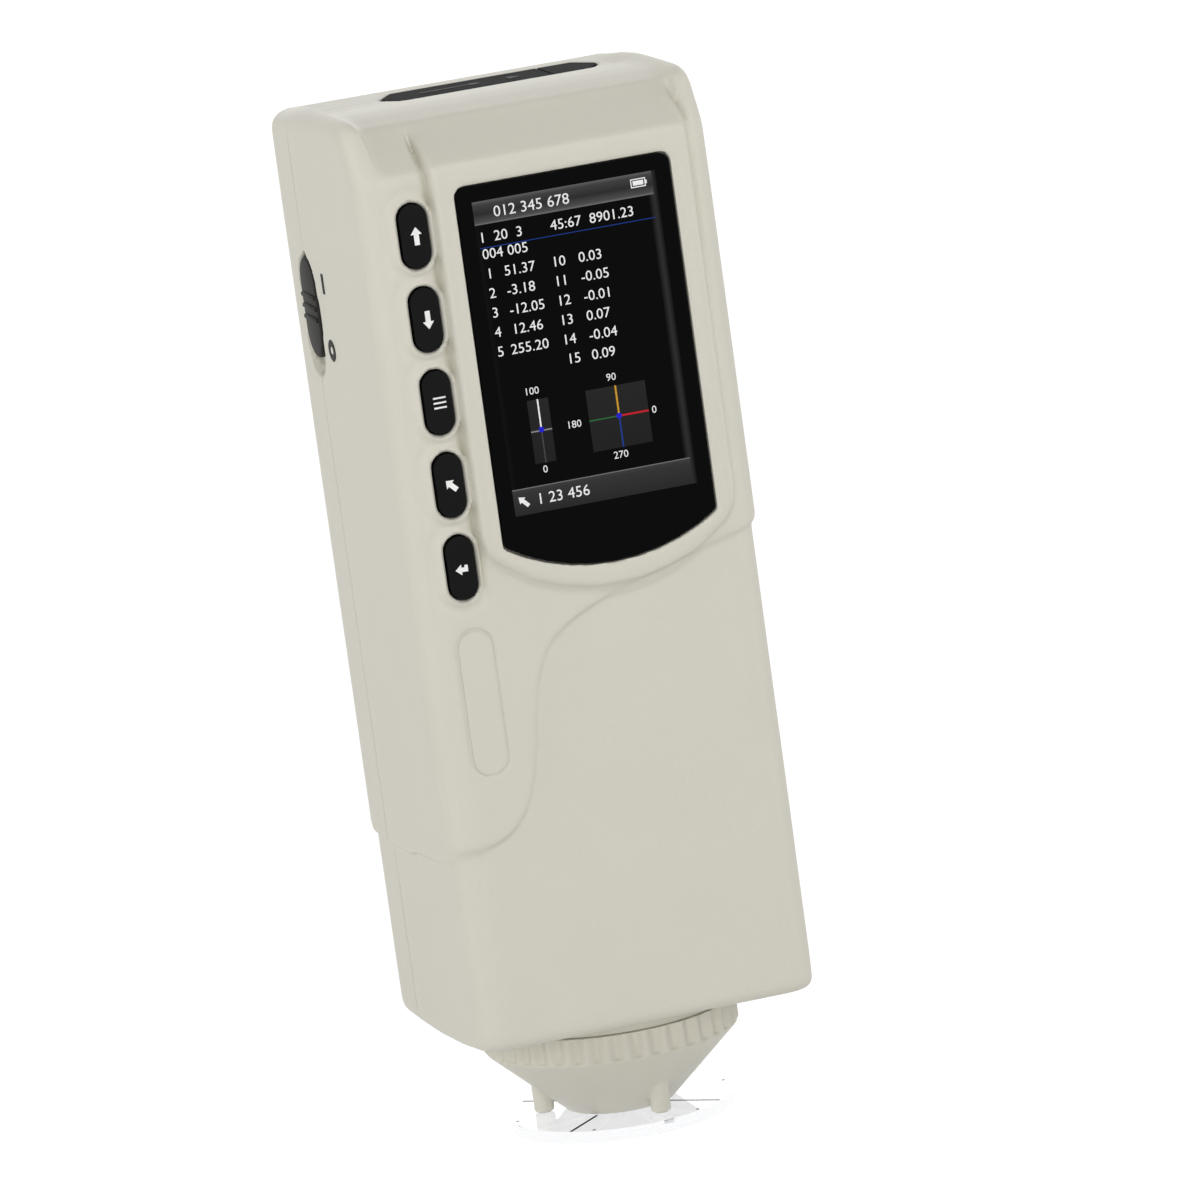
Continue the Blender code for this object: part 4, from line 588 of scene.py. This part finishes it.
# The sleeve's low corner is lifted, most at its tip and less along each way from it
cornerLook = {"lift": 2.3, "z": 63.0, "spread": 8.0, "x": -33.0, "xReach": 24.0, "y": -29.0,
              "yReach": 32.0, "forward": 2.5, "down": 1}


def liftCorner(points):
    look = cornerLook
    along = 1 - np.clip((points[:, 0] - look["x"]) / look["xReach"], 0, 1)
    back = 1 - np.clip((points[:, 1] - look["y"]) / look["yReach"], 0, 1)
    points[:, 2] += look["lift"] * along * back * swell(points[:, 2], look["z"], look["spread"])


def shapeSkin(obj):
    points, normals = readPoints(obj)
    shapeLips(points, normals)
    shapeRidge(points, normals)
    shapePocket(points, normals)
    liftCorner(points)
    writePoints(obj, points)


# One half of the casing, cut at the parting plane with the fine line left between the halves
def castHalf(obj, name, node, side):
    pick(obj)
    editAll()
    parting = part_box("front_shell")[1].y + side * skinLook["partingLine"] * mm
    bpy.ops.mesh.bisect(plane_co=(0, parting, 0), plane_no=(0, 1, 0), use_fill=True,
                        clear_inner=side > 0, clear_outer=side < 0)
    bpy.ops.object.mode_set(mode="OBJECT")
    finishPiece(obj, name, "casing", housing, skinLook["smoothTo"])
    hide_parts(node)


def mouldedCasing():
    look = skinLook
    front, rear = copyOf("frontSkin", "front_shell"), copyOf("rearSkin", "rear_shell")
    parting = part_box("rear_shell")[0].y / mm
    points, normals = readPoints(rear)
    points[:, 1] -= np.where(points[:, 1] < parting + look["rimDepth"], look["overlap"], 0)
    writePoints(rear, points)
    whole = joinPieces([front, rear])
    remesh(whole, look["voxel"])
    soften(whole, lightShare, look["lightPasses"])
    soften(whole, edgeShare, look["edgePasses"])
    soften(whole, formShare, look["formPasses"])
    shapeSkin(whole)
    thin(whole, look["triangles"])
    other = whole.copy()
    other.data = whole.data.copy()
    bpy.context.scene.collection.objects.link(other)
    castHalf(whole, "frontSkin", "front_shell", -1)
    castHalf(other, "rearSkin", "rear_shell", 1)


mouldedCasing()
print("casing skins made")

# The cap's ring is softly fluted, so its copy is remeshed finer, rounded all over and cut by a wave
capLook = {"voxel": 0.3, "passes": 6, "firm": 0.15, "softZ": (3.2, 8), "triangles": 150000,
           "flutes": 40, "deep": 0.95, "fluteLow": (16.0, 17.0), "fluteHigh": (21.4, 22.0),
           "fluteInner": 18, "facing": (0.2, 0.5), "ringRadius": 25.25, "ringLow": 16.4,
           "ringHigh": 22.3, "ringInner": 23, "smoothTo": 50}


# The posts' ends stay crisp
def capShare(points, normals):
    return capLook["firm"] + (1 - capLook["firm"]) * ramp(points[:, 2], *capLook["softZ"])


def mouldedCap():
    look = capLook
    cap = copyOf("capSkin", "measuring_cap")
    remesh(cap, look["voxel"])
    soften(cap, capShare, look["passes"])
    points, normals = readPoints(cap)
    x, y, z = points.T
    turn, reach = np.arctan2(y, x), np.hypot(x, y)
    outward = (x * normals[:, 0] + y * normals[:, 1]) / np.maximum(reach, 1)
    zone = ramp(z, *look["fluteLow"]) * ramp(outward, *look["facing"])
    zone = zone * (1 - ramp(z, *look["fluteHigh"])) * (reach > look["fluteInner"])
    ring = (z > look["ringLow"]) & (z < look["ringHigh"]) & (outward > look["facing"][0])
    level = np.where(ring & (reach > look["ringInner"]), np.maximum(reach, look["ringRadius"]), reach)
    level = level - look["deep"] * zone * (0.5 - 0.5 * np.cos(look["flutes"] * turn))
    points[:, :2] *= (level / np.maximum(reach, 0.1))[:, None]
    writePoints(cap, points)
    thin(cap, look["triangles"])
    finishPiece(cap, "capSkin", "measuring_head", housing, look["smoothTo"])
    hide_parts("measuring_cap")


mouldedCap()

# A round foot under the casing, just above the cap's ring, in the housing's own colour
collarLook = {"radius": 24.7, "wall": 2.4, "low": 21.86, "high": 25.2, "edge": 0.25, "steps": 120,
              "smoothTo": 40}


def footCollar():
    look = collarLook
    bpy.ops.mesh.primitive_cylinder_add(
        vertices=look["steps"], radius=look["radius"] * mm, depth=(look["high"] - look["low"]) * mm,
        end_fill_type="NOTHING", location=(0, 0, (look["high"] + look["low"]) / 2 * mm))
    collar = bpy.context.object
    applyModifier(collar, "SOLIDIFY", thickness=look["wall"] * mm, offset=-1)
    applyModifier(collar, "BEVEL", width=look["edge"] * mm, segments=3, limit_method="ANGLE")
    finishPiece(collar, "footCollar", "casing", housing, look["smoothTo"])


footCollar()

# The measuring key's edge is a shallow groove in the housing's own colour, not an open slot
grooveLook = {"reach": 0.42, "sunk": 0.28, "deep": 0.8, "steps": 16, "smoothTo": 30}


def keyGroove():
    look = grooveLook
    centre, radius, straight = keyMeasures("measure_key")
    outline = roundEnded(centre, radius + look["reach"], straight, look["steps"])
    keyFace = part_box("measure_key")[0].y / mm
    groove = facePlate("keyGroove", outline, keyFace + look["sunk"] + look["deep"], look["deep"])
    finishPiece(groove, "keyGroove", "measure_key", housing, look["smoothTo"])


keyGroove()

# Screen print: an even ink film that is nearly flat
whiteInkLook = {"colour": "#F0F0EE", "level": 0.05, "tone": 0.04, "grain": 0.15, "relief": 0.003,
                "patch": 2.0, "gloss": (0.40, 0.50)}
inkWhite = mouldedSurface("screenPrintedWhiteInk", whiteInkLook)
inkDark = mouldedSurface("padPrintedDarkInk", dict(whiteInkLook, colour="#1E1D1C"))

# White signs on the keys, each a print on its own key's face
glyphLook = {"arrow": [(0, 1.8), (1.1, 0.35), (0.5, 0.35), (0.5, -1.7), (-0.5, -1.7), (-0.5, 0.35),
                       (-1.1, 0.35)],
             "hook": [(-1.6, -0.3), (-0.35, -1.35), (-0.35, -0.75), (0.9, -0.75), (0.9, 0.55), (0.25, 0.55),
                      (0.25, 0.12), (-0.35, 0.12), (-0.35, 0.75)],
             "barWide": 2.5, "barHigh": 0.34, "barPitch": 0.95, "shorter": 0.8, "shift": 0.25,
             "thick": 0.03, "sink": 0.01}


# Outlines come with the degrees that they are turned by
def keyGlyph(name, key, outlines):
    look = glyphLook
    centre = keyMeasures(key)[0]
    middle = (centre[0] + look["shift"], centre[1])
    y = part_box(key)[0].y / mm + look["sink"]
    plates = [facePlate(name, turnOutline(outline, turn, middle), y, look["thick"] + look["sink"])
              for outline, turn in outlines]
    finishPiece(joinPieces(plates), name, key, inkWhite)


def menuBars():
    half, rise = glyphLook["barWide"] / 2, glyphLook["barHigh"] / 2
    return [([(-half, z - rise), (half, z - rise), (half, z + rise), (-half, z + rise)], 0)
            for z in (-glyphLook["barPitch"], 0, glyphLook["barPitch"])]


shortArrow = [(x, z * glyphLook["shorter"]) for x, z in glyphLook["arrow"]]
keyGlyph("glyphUp", "key_up", [(glyphLook["arrow"], 0)])
keyGlyph("glyphDown", "key_down", [(glyphLook["arrow"], 180)])
keyGlyph("glyphBars", "key_menu", menuBars())
keyGlyph("glyphBack", "key_back", [(shortArrow, 45)])
keyGlyph("glyphEnter", "key_enter", [(glyphLook["hook"], 0)])

# The switch's two marks, a bar and a ring, pad printed on the left side
sideMarks = {"thick": 0.12, "sunk": 0.14, "barY": 2.4, "barLow": 170.8, "barHigh": 174.8, "barWide": 1.35,
             "barEdge": 0.05, "ringY": 2.75, "ringZ": 159.6, "ringRadius": 2.2, "ringBand": 1.45,
             "ringStretch": 1.2}
leftSide = cadBox[0][0] + sideMarks["sunk"] * mm


def sideBar():
    look = sideMarks
    place = (leftSide, look["barY"] * mm, (look["barLow"] + look["barHigh"]) / 2 * mm)
    size = (2 * look["thick"] * mm, look["barWide"] * mm, (look["barHigh"] - look["barLow"]) * mm)
    finishPiece(softBlock(place, size, look["barEdge"] * mm, 2), "markOn", "casing", inkDark)


def sideRing():
    look = sideMarks
    band = look["ringBand"] / 2
    bpy.ops.mesh.primitive_torus_add(
        major_radius=(look["ringRadius"] - band) * mm, minor_radius=band * mm, major_segments=40,
        minor_segments=8, location=(leftSide, look["ringY"] * mm, look["ringZ"] * mm),
        rotation=(0, math.pi / 2, 0))
    ring = bpy.context.object
    bpy.ops.object.transform_apply(location=False)
    ring.scale = (look["thick"] / band, look["ringStretch"], 1)
    finishPiece(ring, "markOff", "casing", inkDark)


sideBar()
sideRing()

# The slider is a long rounded pad with three ribs across its middle
sliderLook = {"y": 14.55, "z": 166.85, "halfLength": 10.1, "radius": 5.5, "face": -35.85, "floor": -33.95,
              "edge": 0.75, "sharpest": 50, "steps": 24, "ribs": 3, "pitch": 2.2, "ribHigh": 0.9,
              "ribSpan": 9.4, "ribProud": 0.42, "ribEdge": 0.28, "smoothTo": 40}


def sliderPad():
    look = sliderLook
    outline = roundEnded((0, 0), look["radius"], look["halfLength"] - look["radius"], look["steps"])
    pad = facePlate("sliderPad", outline, 0, look["floor"] - look["face"])
    pad.rotation_euler = (0, 0, -math.pi / 2)
    pad.location = (look["floor"] * mm, look["y"] * mm, look["z"] * mm)
    bpy.ops.object.transform_apply()
    applyModifier(pad, "BEVEL", width=look["edge"] * mm, segments=4, limit_method="ANGLE",
                  angle_limit=math.radians(look["sharpest"]))
    pieces = [pad]
    size = (2 * look["ribProud"] * mm, look["ribSpan"] * mm, look["ribHigh"] * mm)
    for i in range(look["ribs"]):
        z = look["z"] + (i - (look["ribs"] - 1) / 2) * look["pitch"]
        place = (look["face"] * mm, look["y"] * mm, z * mm)
        pieces.append(softBlock(place, size, look["ribEdge"] * mm, 3))
    pad = joinPieces(pieces)
    finishPiece(pad, "sliderPad", "power_slider", switchGrey, look["smoothTo"])
    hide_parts("power_slider")


sliderPad()

# Rubber covers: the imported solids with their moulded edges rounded
coverSkin = {"voxel": 0.2, "passes": 5, "triangles": 60000, "smoothTo": 50}


def rubberCover(node):
    cover = copyOf(node + "_skin", node)
    remesh(cover, coverSkin["voxel"])
    soften(cover, lambda points, normals: np.ones(len(points)), coverSkin["passes"])
    thin(cover, coverSkin["triangles"])
    finishPiece(cover, node + "_skin", node, coverRubber, coverSkin["smoothTo"])
    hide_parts(node)


rubberCover("usb_cover")
rubberCover("power_cover")

# Raised signs on the rubber cover: a long bar with a dot, and a small wedge
coverSigns = {"barFrom": -8.4, "barTo": 1.6, "y": 13.9, "barWide": 0.9, "barEdge": 0.08, "dotX": 2.6,
              "dotRadius": 1.1, "wedgeX": 10.4, "wedgeY": 13.6, "wedgeRadius": 1.8, "proud": 0.12}


def raisedSigns():
    look = coverSigns
    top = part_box("usb_cover")[1].z
    high = 2 * look["proud"] * mm
    bar = softBlock(((look["barFrom"] + look["barTo"]) / 2 * mm, look["y"] * mm, top),
                    ((look["barTo"] - look["barFrom"]) * mm, look["barWide"] * mm, high),
                    look["barEdge"] * mm, 2)
    bpy.ops.mesh.primitive_cylinder_add(
        vertices=24, radius=look["dotRadius"] * mm, depth=high,
        location=(look["dotX"] * mm, look["y"] * mm, top))
    dot = bpy.context.object
    bpy.ops.mesh.primitive_cylinder_add(
        vertices=3, radius=look["wedgeRadius"] * mm, depth=high, rotation=(0, 0, math.pi / 6),
        location=(look["wedgeX"] * mm, look["wedgeY"] * mm, top))
    wedge = bpy.context.object
    finishPiece(joinPieces([bar, dot, wedge]), "coverMarks", "usb_cover", opticBlack)


raisedSigns()

# Dark lines and dots engraved in the locating plate's upper face
plateMarks = {"lines": 4, "firstTurn": -43.5, "from": 10.4, "to": 21.9, "wide": 0.62, "thick": 0.02,
              "dots": 6, "dotTurn": -1.0, "dotAt": 21.2, "dotRadius": 0.36}


def plateEngraving():
    look = plateMarks
    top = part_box("locating_plate")[1].z
    high = 2 * look["thick"] * mm
    length = (look["to"] - look["from"]) * mm
    middle = (look["to"] + look["from"]) / 2 * mm
    pieces = []
    for i in range(look["lines"]):
        turn = math.radians(look["firstTurn"] + 360 / look["lines"] * i)
        place = (middle * math.cos(turn), middle * math.sin(turn), top)
        bpy.ops.mesh.primitive_cube_add(size=1, location=place, rotation=(0, 0, turn))
        bpy.context.object.scale = (length, look["wide"] * mm, high)
        pieces.append(bpy.context.object)
    reach = look["dotAt"] * mm
    for i in range(look["dots"]):
        turn = math.radians(look["dotTurn"] + 360 / look["dots"] * i)
        place = (reach * math.cos(turn), reach * math.sin(turn), top)
        bpy.ops.mesh.primitive_cylinder_add(
            vertices=16, radius=look["dotRadius"] * mm, depth=high, location=place)
        pieces.append(bpy.context.object)
    finishPiece(joinPieces(pieces), "plateMarks", "measuring_head", inkDark)


plateEngraving()

# Painted shade for the cross recesses in the heads of the case screws, which the record numbers from 1:
# thin crosses of matt black lie where the recesses' shade falls
crossLook = {"screws": 4, "reach": 1.1, "wide": 0.5, "deep": 0.06, "edge": 0.02}


def paintedCrossShade():
    look = crossLook
    size = (2 * look["reach"] * mm, look["deep"] * mm, look["wide"] * mm)
    arms = []
    for i in range(look["screws"]):
        low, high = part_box("case_screw_%d" % (i + 1))
        head = ((low.x + high.x) / 2, high.y, (low.z + high.z) / 2)
        for turn in (0, math.pi / 2):
            arms.append(softBlock(head, size, look["edge"] * mm, 2, (0, turn, 0)))
    # The crosses are painted shade: dark sheets that stand in for the shade in each recess
    finishPiece(joinPieces(arms), "paintedCrossShade", "casing", opticBlack)


paintedCrossShade()
print("marks made")

# The screen's picture lies in thin layers on the lens, placed from the screen's left and top
screenLook = {"width": 36.6, "height": 61.0, "layer": 0.02, "titleHigh": 4.5, "footHigh": 5.1,
              "rightGap": 0.9}
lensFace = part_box("display_window")[0].y / mm
lcdLow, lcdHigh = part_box("lcd_panel")
screenMiddle = (lcdLow.x + lcdHigh.x) / 2 / mm
screenLeft = screenMiddle - screenLook["width"] / 2
screenTop = (lcdLow.z + lcdHigh.z) / 2 / mm + screenLook["height"] / 2

# All of it shows through the coated lens, so it keeps the lens's gloss
litLook = {"roughness": 0.08, "level": 0.04, "behindDots": "#050505", "behindPanel": "#020202",
           "row": 0.9582, "between": 0.9, "fullFrom": 0.6}


def litGlass(name, behind):
    return newMaterial(name, IOR=1.49, Roughness=litLook["roughness"], Base_Color=linear(behind),
                       Specular_IOR_Level=litLook["level"], Emission_Strength=1.0)


# Lit dots: the dim lines between their rows break up the colour, and are drawn coarser than a display's
def litDots(name, colour):
    look = litLook
    material, tree, shader, where = litGlass(name, look["behindDots"])
    rows = addNode(tree, "TexWave", {"wave_type": "BANDS", "bands_direction": "Z", "Distortion": 0.0,
                   "Scale": waveScale(look["row"])}, {"Vector": where})
    base = linear(colour)
    tone = addNode(tree, "ValToRGB", links={"Fac": rows.outputs["Fac"]},
                   stops=[(0.0, toned(base, look["between"])), (look["fullFrom"], base)])
    tree.links.new(tone.outputs["Color"], shader.inputs["Emission Color"])
    return material


# A lit panel, whose tone changes along one axis between two places
def litPanel(name, axis, start, end, stops):
    material, tree, shader, where = litGlass(name, litLook["behindPanel"])
    parts = addNode(tree, "SeparateXYZ", links={"Vector": where})
    along = addNode(tree, "MapRange", {"From Min": start * mm, "From Max": end * mm},
                    {"Value": parts.outputs[axis]})
    tone = addNode(tree, "ValToRGB", links={"Fac": along.outputs["Result"]},
                   stops=[(place, linear(colour)) for place, colour in stops])
    tree.links.new(tone.outputs["Color"], shader.inputs["Emission Color"])
    return material


# A rectangle of the screen, from its left and top, with its face in the given layer
def screenPatch(name, x0, z0, x1, z1, layer):
    left, right, top, foot = screenLeft + x0, screenLeft + x1, screenTop - z0, screenTop - z1
    outline = [(left, foot), (right, foot), (right, top), (left, top)]
    return facePlate(name, outline, lensFace, layer * screenLook["layer"])


def finishScreen(pieces, name, material):
    finishPiece(joinPieces(pieces), name, "casing", material)


# One line of figures, with its baseline and left end placed from the screen's left and top
def figureLine(text, x, z, size):
    place = ((screenLeft + x) * mm, (lensFace - 4 * screenLook["layer"]) * mm, (screenTop - z) * mm)
    bpy.ops.object.text_add(location=place, rotation=(math.pi / 2, 0, 0))
    line = bpy.context.object
    line.data.body = text
    line.data.size = size * mm
    line.data.resolution_u = 3
    pick(line)
    bpy.ops.object.convert(target="MESH")
    return bpy.context.object


# Text, place from the left, baseline from the top, and size
titleSize, rowSize, labelSize = 3.0, 2.8, 2.0
headLines = [("012 345 678", 3.9, 3.4, titleSize), ("1  20  3", 0.4, 7.9, rowSize),
             ("45:67  8901.23", 14.6, 7.9, rowSize), ("004 005", 0.6, 11.1, rowSize)]
lowLines = [("100", 5.0, 38.3, labelSize), ("0", 6.6, 53.6, labelSize), ("90", 21.4, 38.4, labelSize),
            ("0", 29.5, 46.1, labelSize), ("180", 12.4, 46.1, labelSize), ("270", 20.8, 53.5, labelSize),
            ("1 23 456", 4.6, 59.4, titleSize)]
rowLook = {"first": 14.9, "pitch": 3.78, "leftNumber": 0.9, "leftValue": 4.4, "longValue": 3.6,
           "rightNumber": 13.9, "lastNumber": 14.3, "rightValue": 19.2}
leftRows = ["51.37", "-3.18", "-12.05", "12.46", "255.20"]
rightRows = ["0.03", "-0.05", "-0.01", "0.07", "-0.04", "0.09"]


# Numbered rows of values: five on the left, which start at 1, and six on the right, which start at 10
def valueRows():
    look = rowLook
    rows = []
    for i, value in enumerate(rightRows):
        base = look["first"] + look["pitch"] * i
        if i < len(leftRows):
            start = look["longValue"] if i == len(leftRows) - 1 else look["leftValue"]
            rows.append((str(i + 1), look["leftNumber"], base, rowSize))
            rows.append((leftRows[i], start, base, rowSize))
        start = look["lastNumber"] if i == len(rightRows) - 1 else look["rightNumber"]
        rows.append((str(i + 10), start, base, rowSize))
        rows.append((value, look["rightValue"], base, rowSize))
    return rows


white = litDots("litScreenWhite", "#EDEDED")
finishScreen([figureLine(*line) for line in headLines + valueRows() + lowLines], "screenFigures", white)

# The black field with its grey right edge, then the title bar and the foot bar
wide, high = screenLook["width"], screenLook["height"]
barRight = wide - screenLook["rightGap"]
titleHigh, footTop = screenLook["titleHigh"], high - screenLook["footHigh"]
fieldTones = [(0.0, "#0A0A0A"), (0.03, "#010102"), (0.945, "#010102"), (0.975, "#2C2C2C"), (1.0, "#080808")]
titleTones = [(0.0, "#6E6E6E"), (0.10, "#4A4A4A"), (0.45, "#2A2A2A"), (0.85, "#3E3E3E"), (1.0, "#5C5C5C")]
footTones = [(0.0, "#262626"), (0.80, "#323232"), (0.96, "#3A3A3A"), (1.0, "#8A8A8A")]
fieldTone = litPanel("litScreenBlack", 0, screenLeft, screenMiddle + wide / 2, fieldTones)
finishScreen([screenPatch("screenField", 0, 0, wide, high, 1)], "screenField", fieldTone)
titleTone = litPanel("litTitleBar", 2, screenTop - titleHigh, screenTop, titleTones)
finishScreen([screenPatch("titleBar", 0, 0, barRight, titleHigh, 2)], "titleBar", titleTone)
footTone = litPanel("litFootBar", 2, screenTop - high, screenTop - footTop, footTones)
finishScreen([screenPatch("footBar", 0, footTop, barRight, high, 2)], "footBar", footTone)

# The gauge and the plot: left, top, right and bottom of each grey field
gaugeField, plotField = (5.3, 39.4, 9.5, 51.7), (17.0, 39.5, 28.9, 51.5)
gaugeTone = litPanel("litGaugeGrey", 2, screenTop - gaugeField[3], screenTop - gaugeField[1],
                     [(0.0, "#1E1E1E"), (1.0, "#242424")])
finishScreen([screenPatch("gaugeField", *gaugeField, 2), screenPatch("plotField", *plotField, 2)],
             "gaugeFields", gaugeTone)

# Lines of one colour each: left, top, right and bottom. The white ones draw the gauge and the battery.
screenLines = {
    "whiteLines": (white, [(7.25, 39.4, 7.55, 45.4), (31.4, 1.0, 34.4, 1.2), (31.4, 2.5, 34.4, 2.7),
                           (31.4, 1.2, 31.6, 2.5), (34.2, 1.2, 34.4, 2.5), (34.4, 1.5, 34.65, 2.2),
                           (31.85, 1.4, 33.95, 2.3)]),
    "greyLines": (litDots("litGrey", "#8C8C8C"), [(5.3, 45.35, 9.5, 45.6)]),
    "darkLines": (litDots("litDarkGrey", "#4A4A4A"), [(7.3, 45.6, 7.5, 51.7)]),
    "yellowLine": (litDots("litYellow", "#C8962E"), [(22.8, 39.5, 23.15, 45.0)]),
    "redLine": (litDots("litRed", "#C8202C"), [(23.4, 45.25, 28.9, 45.6)]),
    "greenLine": (litDots("litGreen", "#2E6A3A"), [(17.0, 45.3, 22.6, 45.55)]),
    "blueLines": (litDots("litBlue", "#1E3C8C"), [(22.85, 45.9, 23.15, 51.5), (0.4, 8.9, 35.4, 9.05)]),
}
for name, (material, patches) in screenLines.items():
    finishScreen([screenPatch(name, *patch, 3) for patch in patches], name, material)

# The dots that mark the readings on the gauge and on the plot
readingDots = {"places": ((7.4, 45.3), (22.95, 45.4)), "radius": 0.55, "layer": 3.5}


def blueDots():
    look, layer = readingDots, screenLook["layer"]
    pieces = []
    for x, z in look["places"]:
        place = ((screenLeft + x) * mm, (lensFace - look["layer"] * layer) * mm, (screenTop - z) * mm)
        bpy.ops.mesh.primitive_cylinder_add(
            vertices=20, radius=look["radius"] * mm, depth=2 * layer * mm, location=place,
            rotation=(math.pi / 2, 0, 0))
        pieces.append(bpy.context.object)
    finishScreen(pieces, "blueDots", litDots("litDeepBlue", "#2222C8"))


blueDots()

# The key arrow's smaller twin in the foot bar
footArrow = {"share": 0.75, "x": 2.0, "z": 58.4, "turn": 45, "layer": 4}


def screenArrow():
    look = footArrow
    small = [(x * look["share"], z * look["share"]) for x, z in glyphLook["arrow"]]
    outline = turnOutline(small, look["turn"], (screenLeft + look["x"], screenTop - look["z"]))
    arrow = facePlate("footArrow", outline, lensFace, look["layer"] * screenLook["layer"])
    finishScreen([arrow], "footArrow", white)


screenArrow()
print("screen made")


# 1 for rays straight from the camera, off gloss and through glass, and 0 for the light on the object
def shownRays(tree):
    path = addNode(tree, "LightPath")
    seen = path.outputs["Is Camera Ray"]
    for kind in ("Is Glossy Ray", "Is Transmission Ray"):
        either = addNode(tree, "Math", {"operation": "MAXIMUM"}, {0: seen, 1: path.outputs[kind]})
        seen = either.outputs[0]
    return seen


# The floor shows white to the camera, in glass and in gloss, and keeps part of the object's shadow
stageLook = {"size": 9.0, "colour": "#F2F2F2", "glow": 0.90, "shadowShare": 0.26}


def paleFloor():
    bpy.ops.mesh.primitive_plane_add(size=stageLook["size"], location=(0, 0, 0))
    floor = bpy.context.object
    floor.name = "paleFloor"
    material = bpy.data.materials.new("paintedPaleFloor")
    material.use_nodes = True
    tree = material.node_tree
    tree.nodes.clear()
    share = stageLook["shadowShare"]
    faint = addNode(tree, "BsdfDiffuse", {"Color": (share, share, share, 1)})
    glow = addNode(tree, "Emission", {"Strength": stageLook["glow"]})
    shown = addNode(tree, "AddShader", links={0: faint.outputs[0], 1: glow.outputs[0]})
    plain = addNode(tree, "BsdfDiffuse", {"Color": linear(stageLook["colour"])})
    mixed = addNode(tree, "MixShader", links={0: shownRays(tree), 1: plain.outputs[0], 2: shown.outputs[0]})
    addNode(tree, "OutputMaterial", links={"Surface": mixed.outputs[0]})
    floor.data.materials.append(material)


paleFloor()

# Large soft boxes and a small one for the bend's highlight; places and sizes in metres, powers in watts
softBoxes = {
    "front": {"at": (-0.5, -1.7, 0.14), "size": 1.4, "power": 18.0},
    "left": {"at": (-1.6, 0.1, 0.4), "size": 1.3, "power": 11.2},
    "right": {"at": (1.5, -0.4, 0.5), "size": 1.2, "power": 6.0},
    "back": {"at": (0.5, 1.8, 0.5), "size": 1.5, "power": 7.0},
    "bend": {"at": (0.36, -0.78, 1.22), "size": 0.09, "power": 3.6},
}
aimPoint = Vector((0, 0, 0.1))


def addSoftBox(name, look):
    bpy.ops.object.light_add(type="AREA", location=look["at"])
    lamp = bpy.context.object
    lamp.name = name + "SoftBox"
    lamp.data.size = look["size"]
    lamp.data.energy = look["power"]
    lamp.rotation_euler = (aimPoint - Vector(look["at"])).to_track_quat("-Z", "Y").to_euler()


for name, look in softBoxes.items():
    addSoftBox(name, look)

# The room shows white and lights the object with part of that
roomLook = {"shown": 1.0, "light": 0.34}


def paleRoom():
    world = bpy.data.worlds.new("paleRoom")
    bpy.context.scene.world = world
    world.use_nodes = True
    tree = world.node_tree
    tree.nodes.clear()
    dim = addNode(tree, "Background", {"Color": (1, 1, 1, 1), "Strength": roomLook["light"]})
    bright = addNode(tree, "Background", {"Color": (1, 1, 1, 1), "Strength": roomLook["shown"]})
    mixed = addNode(tree, "MixShader", links={0: shownRays(tree), 1: dim.outputs[0], 2: bright.outputs[0]})
    addNode(tree, "OutputWorld", links={"Surface": mixed.outputs[0]})


paleRoom()

# Long lens from the photograph's own viewpoint; turns in degrees, distances in millimetres
cameraLook = {"turn": 15.09, "rise": 10.963, "roll": -7.90, "focalPixels": 9211.3, "imagePixels": 1200,
              "distance": 1794.3, "target": (8.63, -4.45, 102.90), "sensor": 36.0, "near": 50, "far": 20000}


def addCamera(look):
    turn, rise, roll = (math.radians(look[key]) for key in ("turn", "rise", "roll"))
    back = Vector((-math.sin(turn) * math.cos(rise), -math.cos(turn) * math.cos(rise), math.sin(rise)))
    level = Vector((math.cos(turn), -math.sin(turn), 0))
    upright = back.cross(level)
    right = level * math.cos(roll) + upright * math.sin(roll)
    up = upright * math.cos(roll) - level * math.sin(roll)
    data = bpy.data.cameras.new("studioCamera")
    data.sensor_width = look["sensor"]
    data.lens = look["focalPixels"] / look["imagePixels"] * look["sensor"]
    data.clip_start, data.clip_end = look["near"] * mm, look["far"] * mm
    camera = bpy.data.objects.new("studioCamera", data)
    bpy.context.scene.collection.objects.link(camera)
    place = Vector(look["target"]) * mm + back * look["distance"] * mm
    camera.matrix_world = Matrix.Translation(place) @ Matrix((right, up, back)).transposed().to_4x4()
    bpy.context.scene.camera = camera


addCamera(cameraLook)
bpy.context.scene.view_settings.view_transform = "Standard"
print("floor, light and camera set")
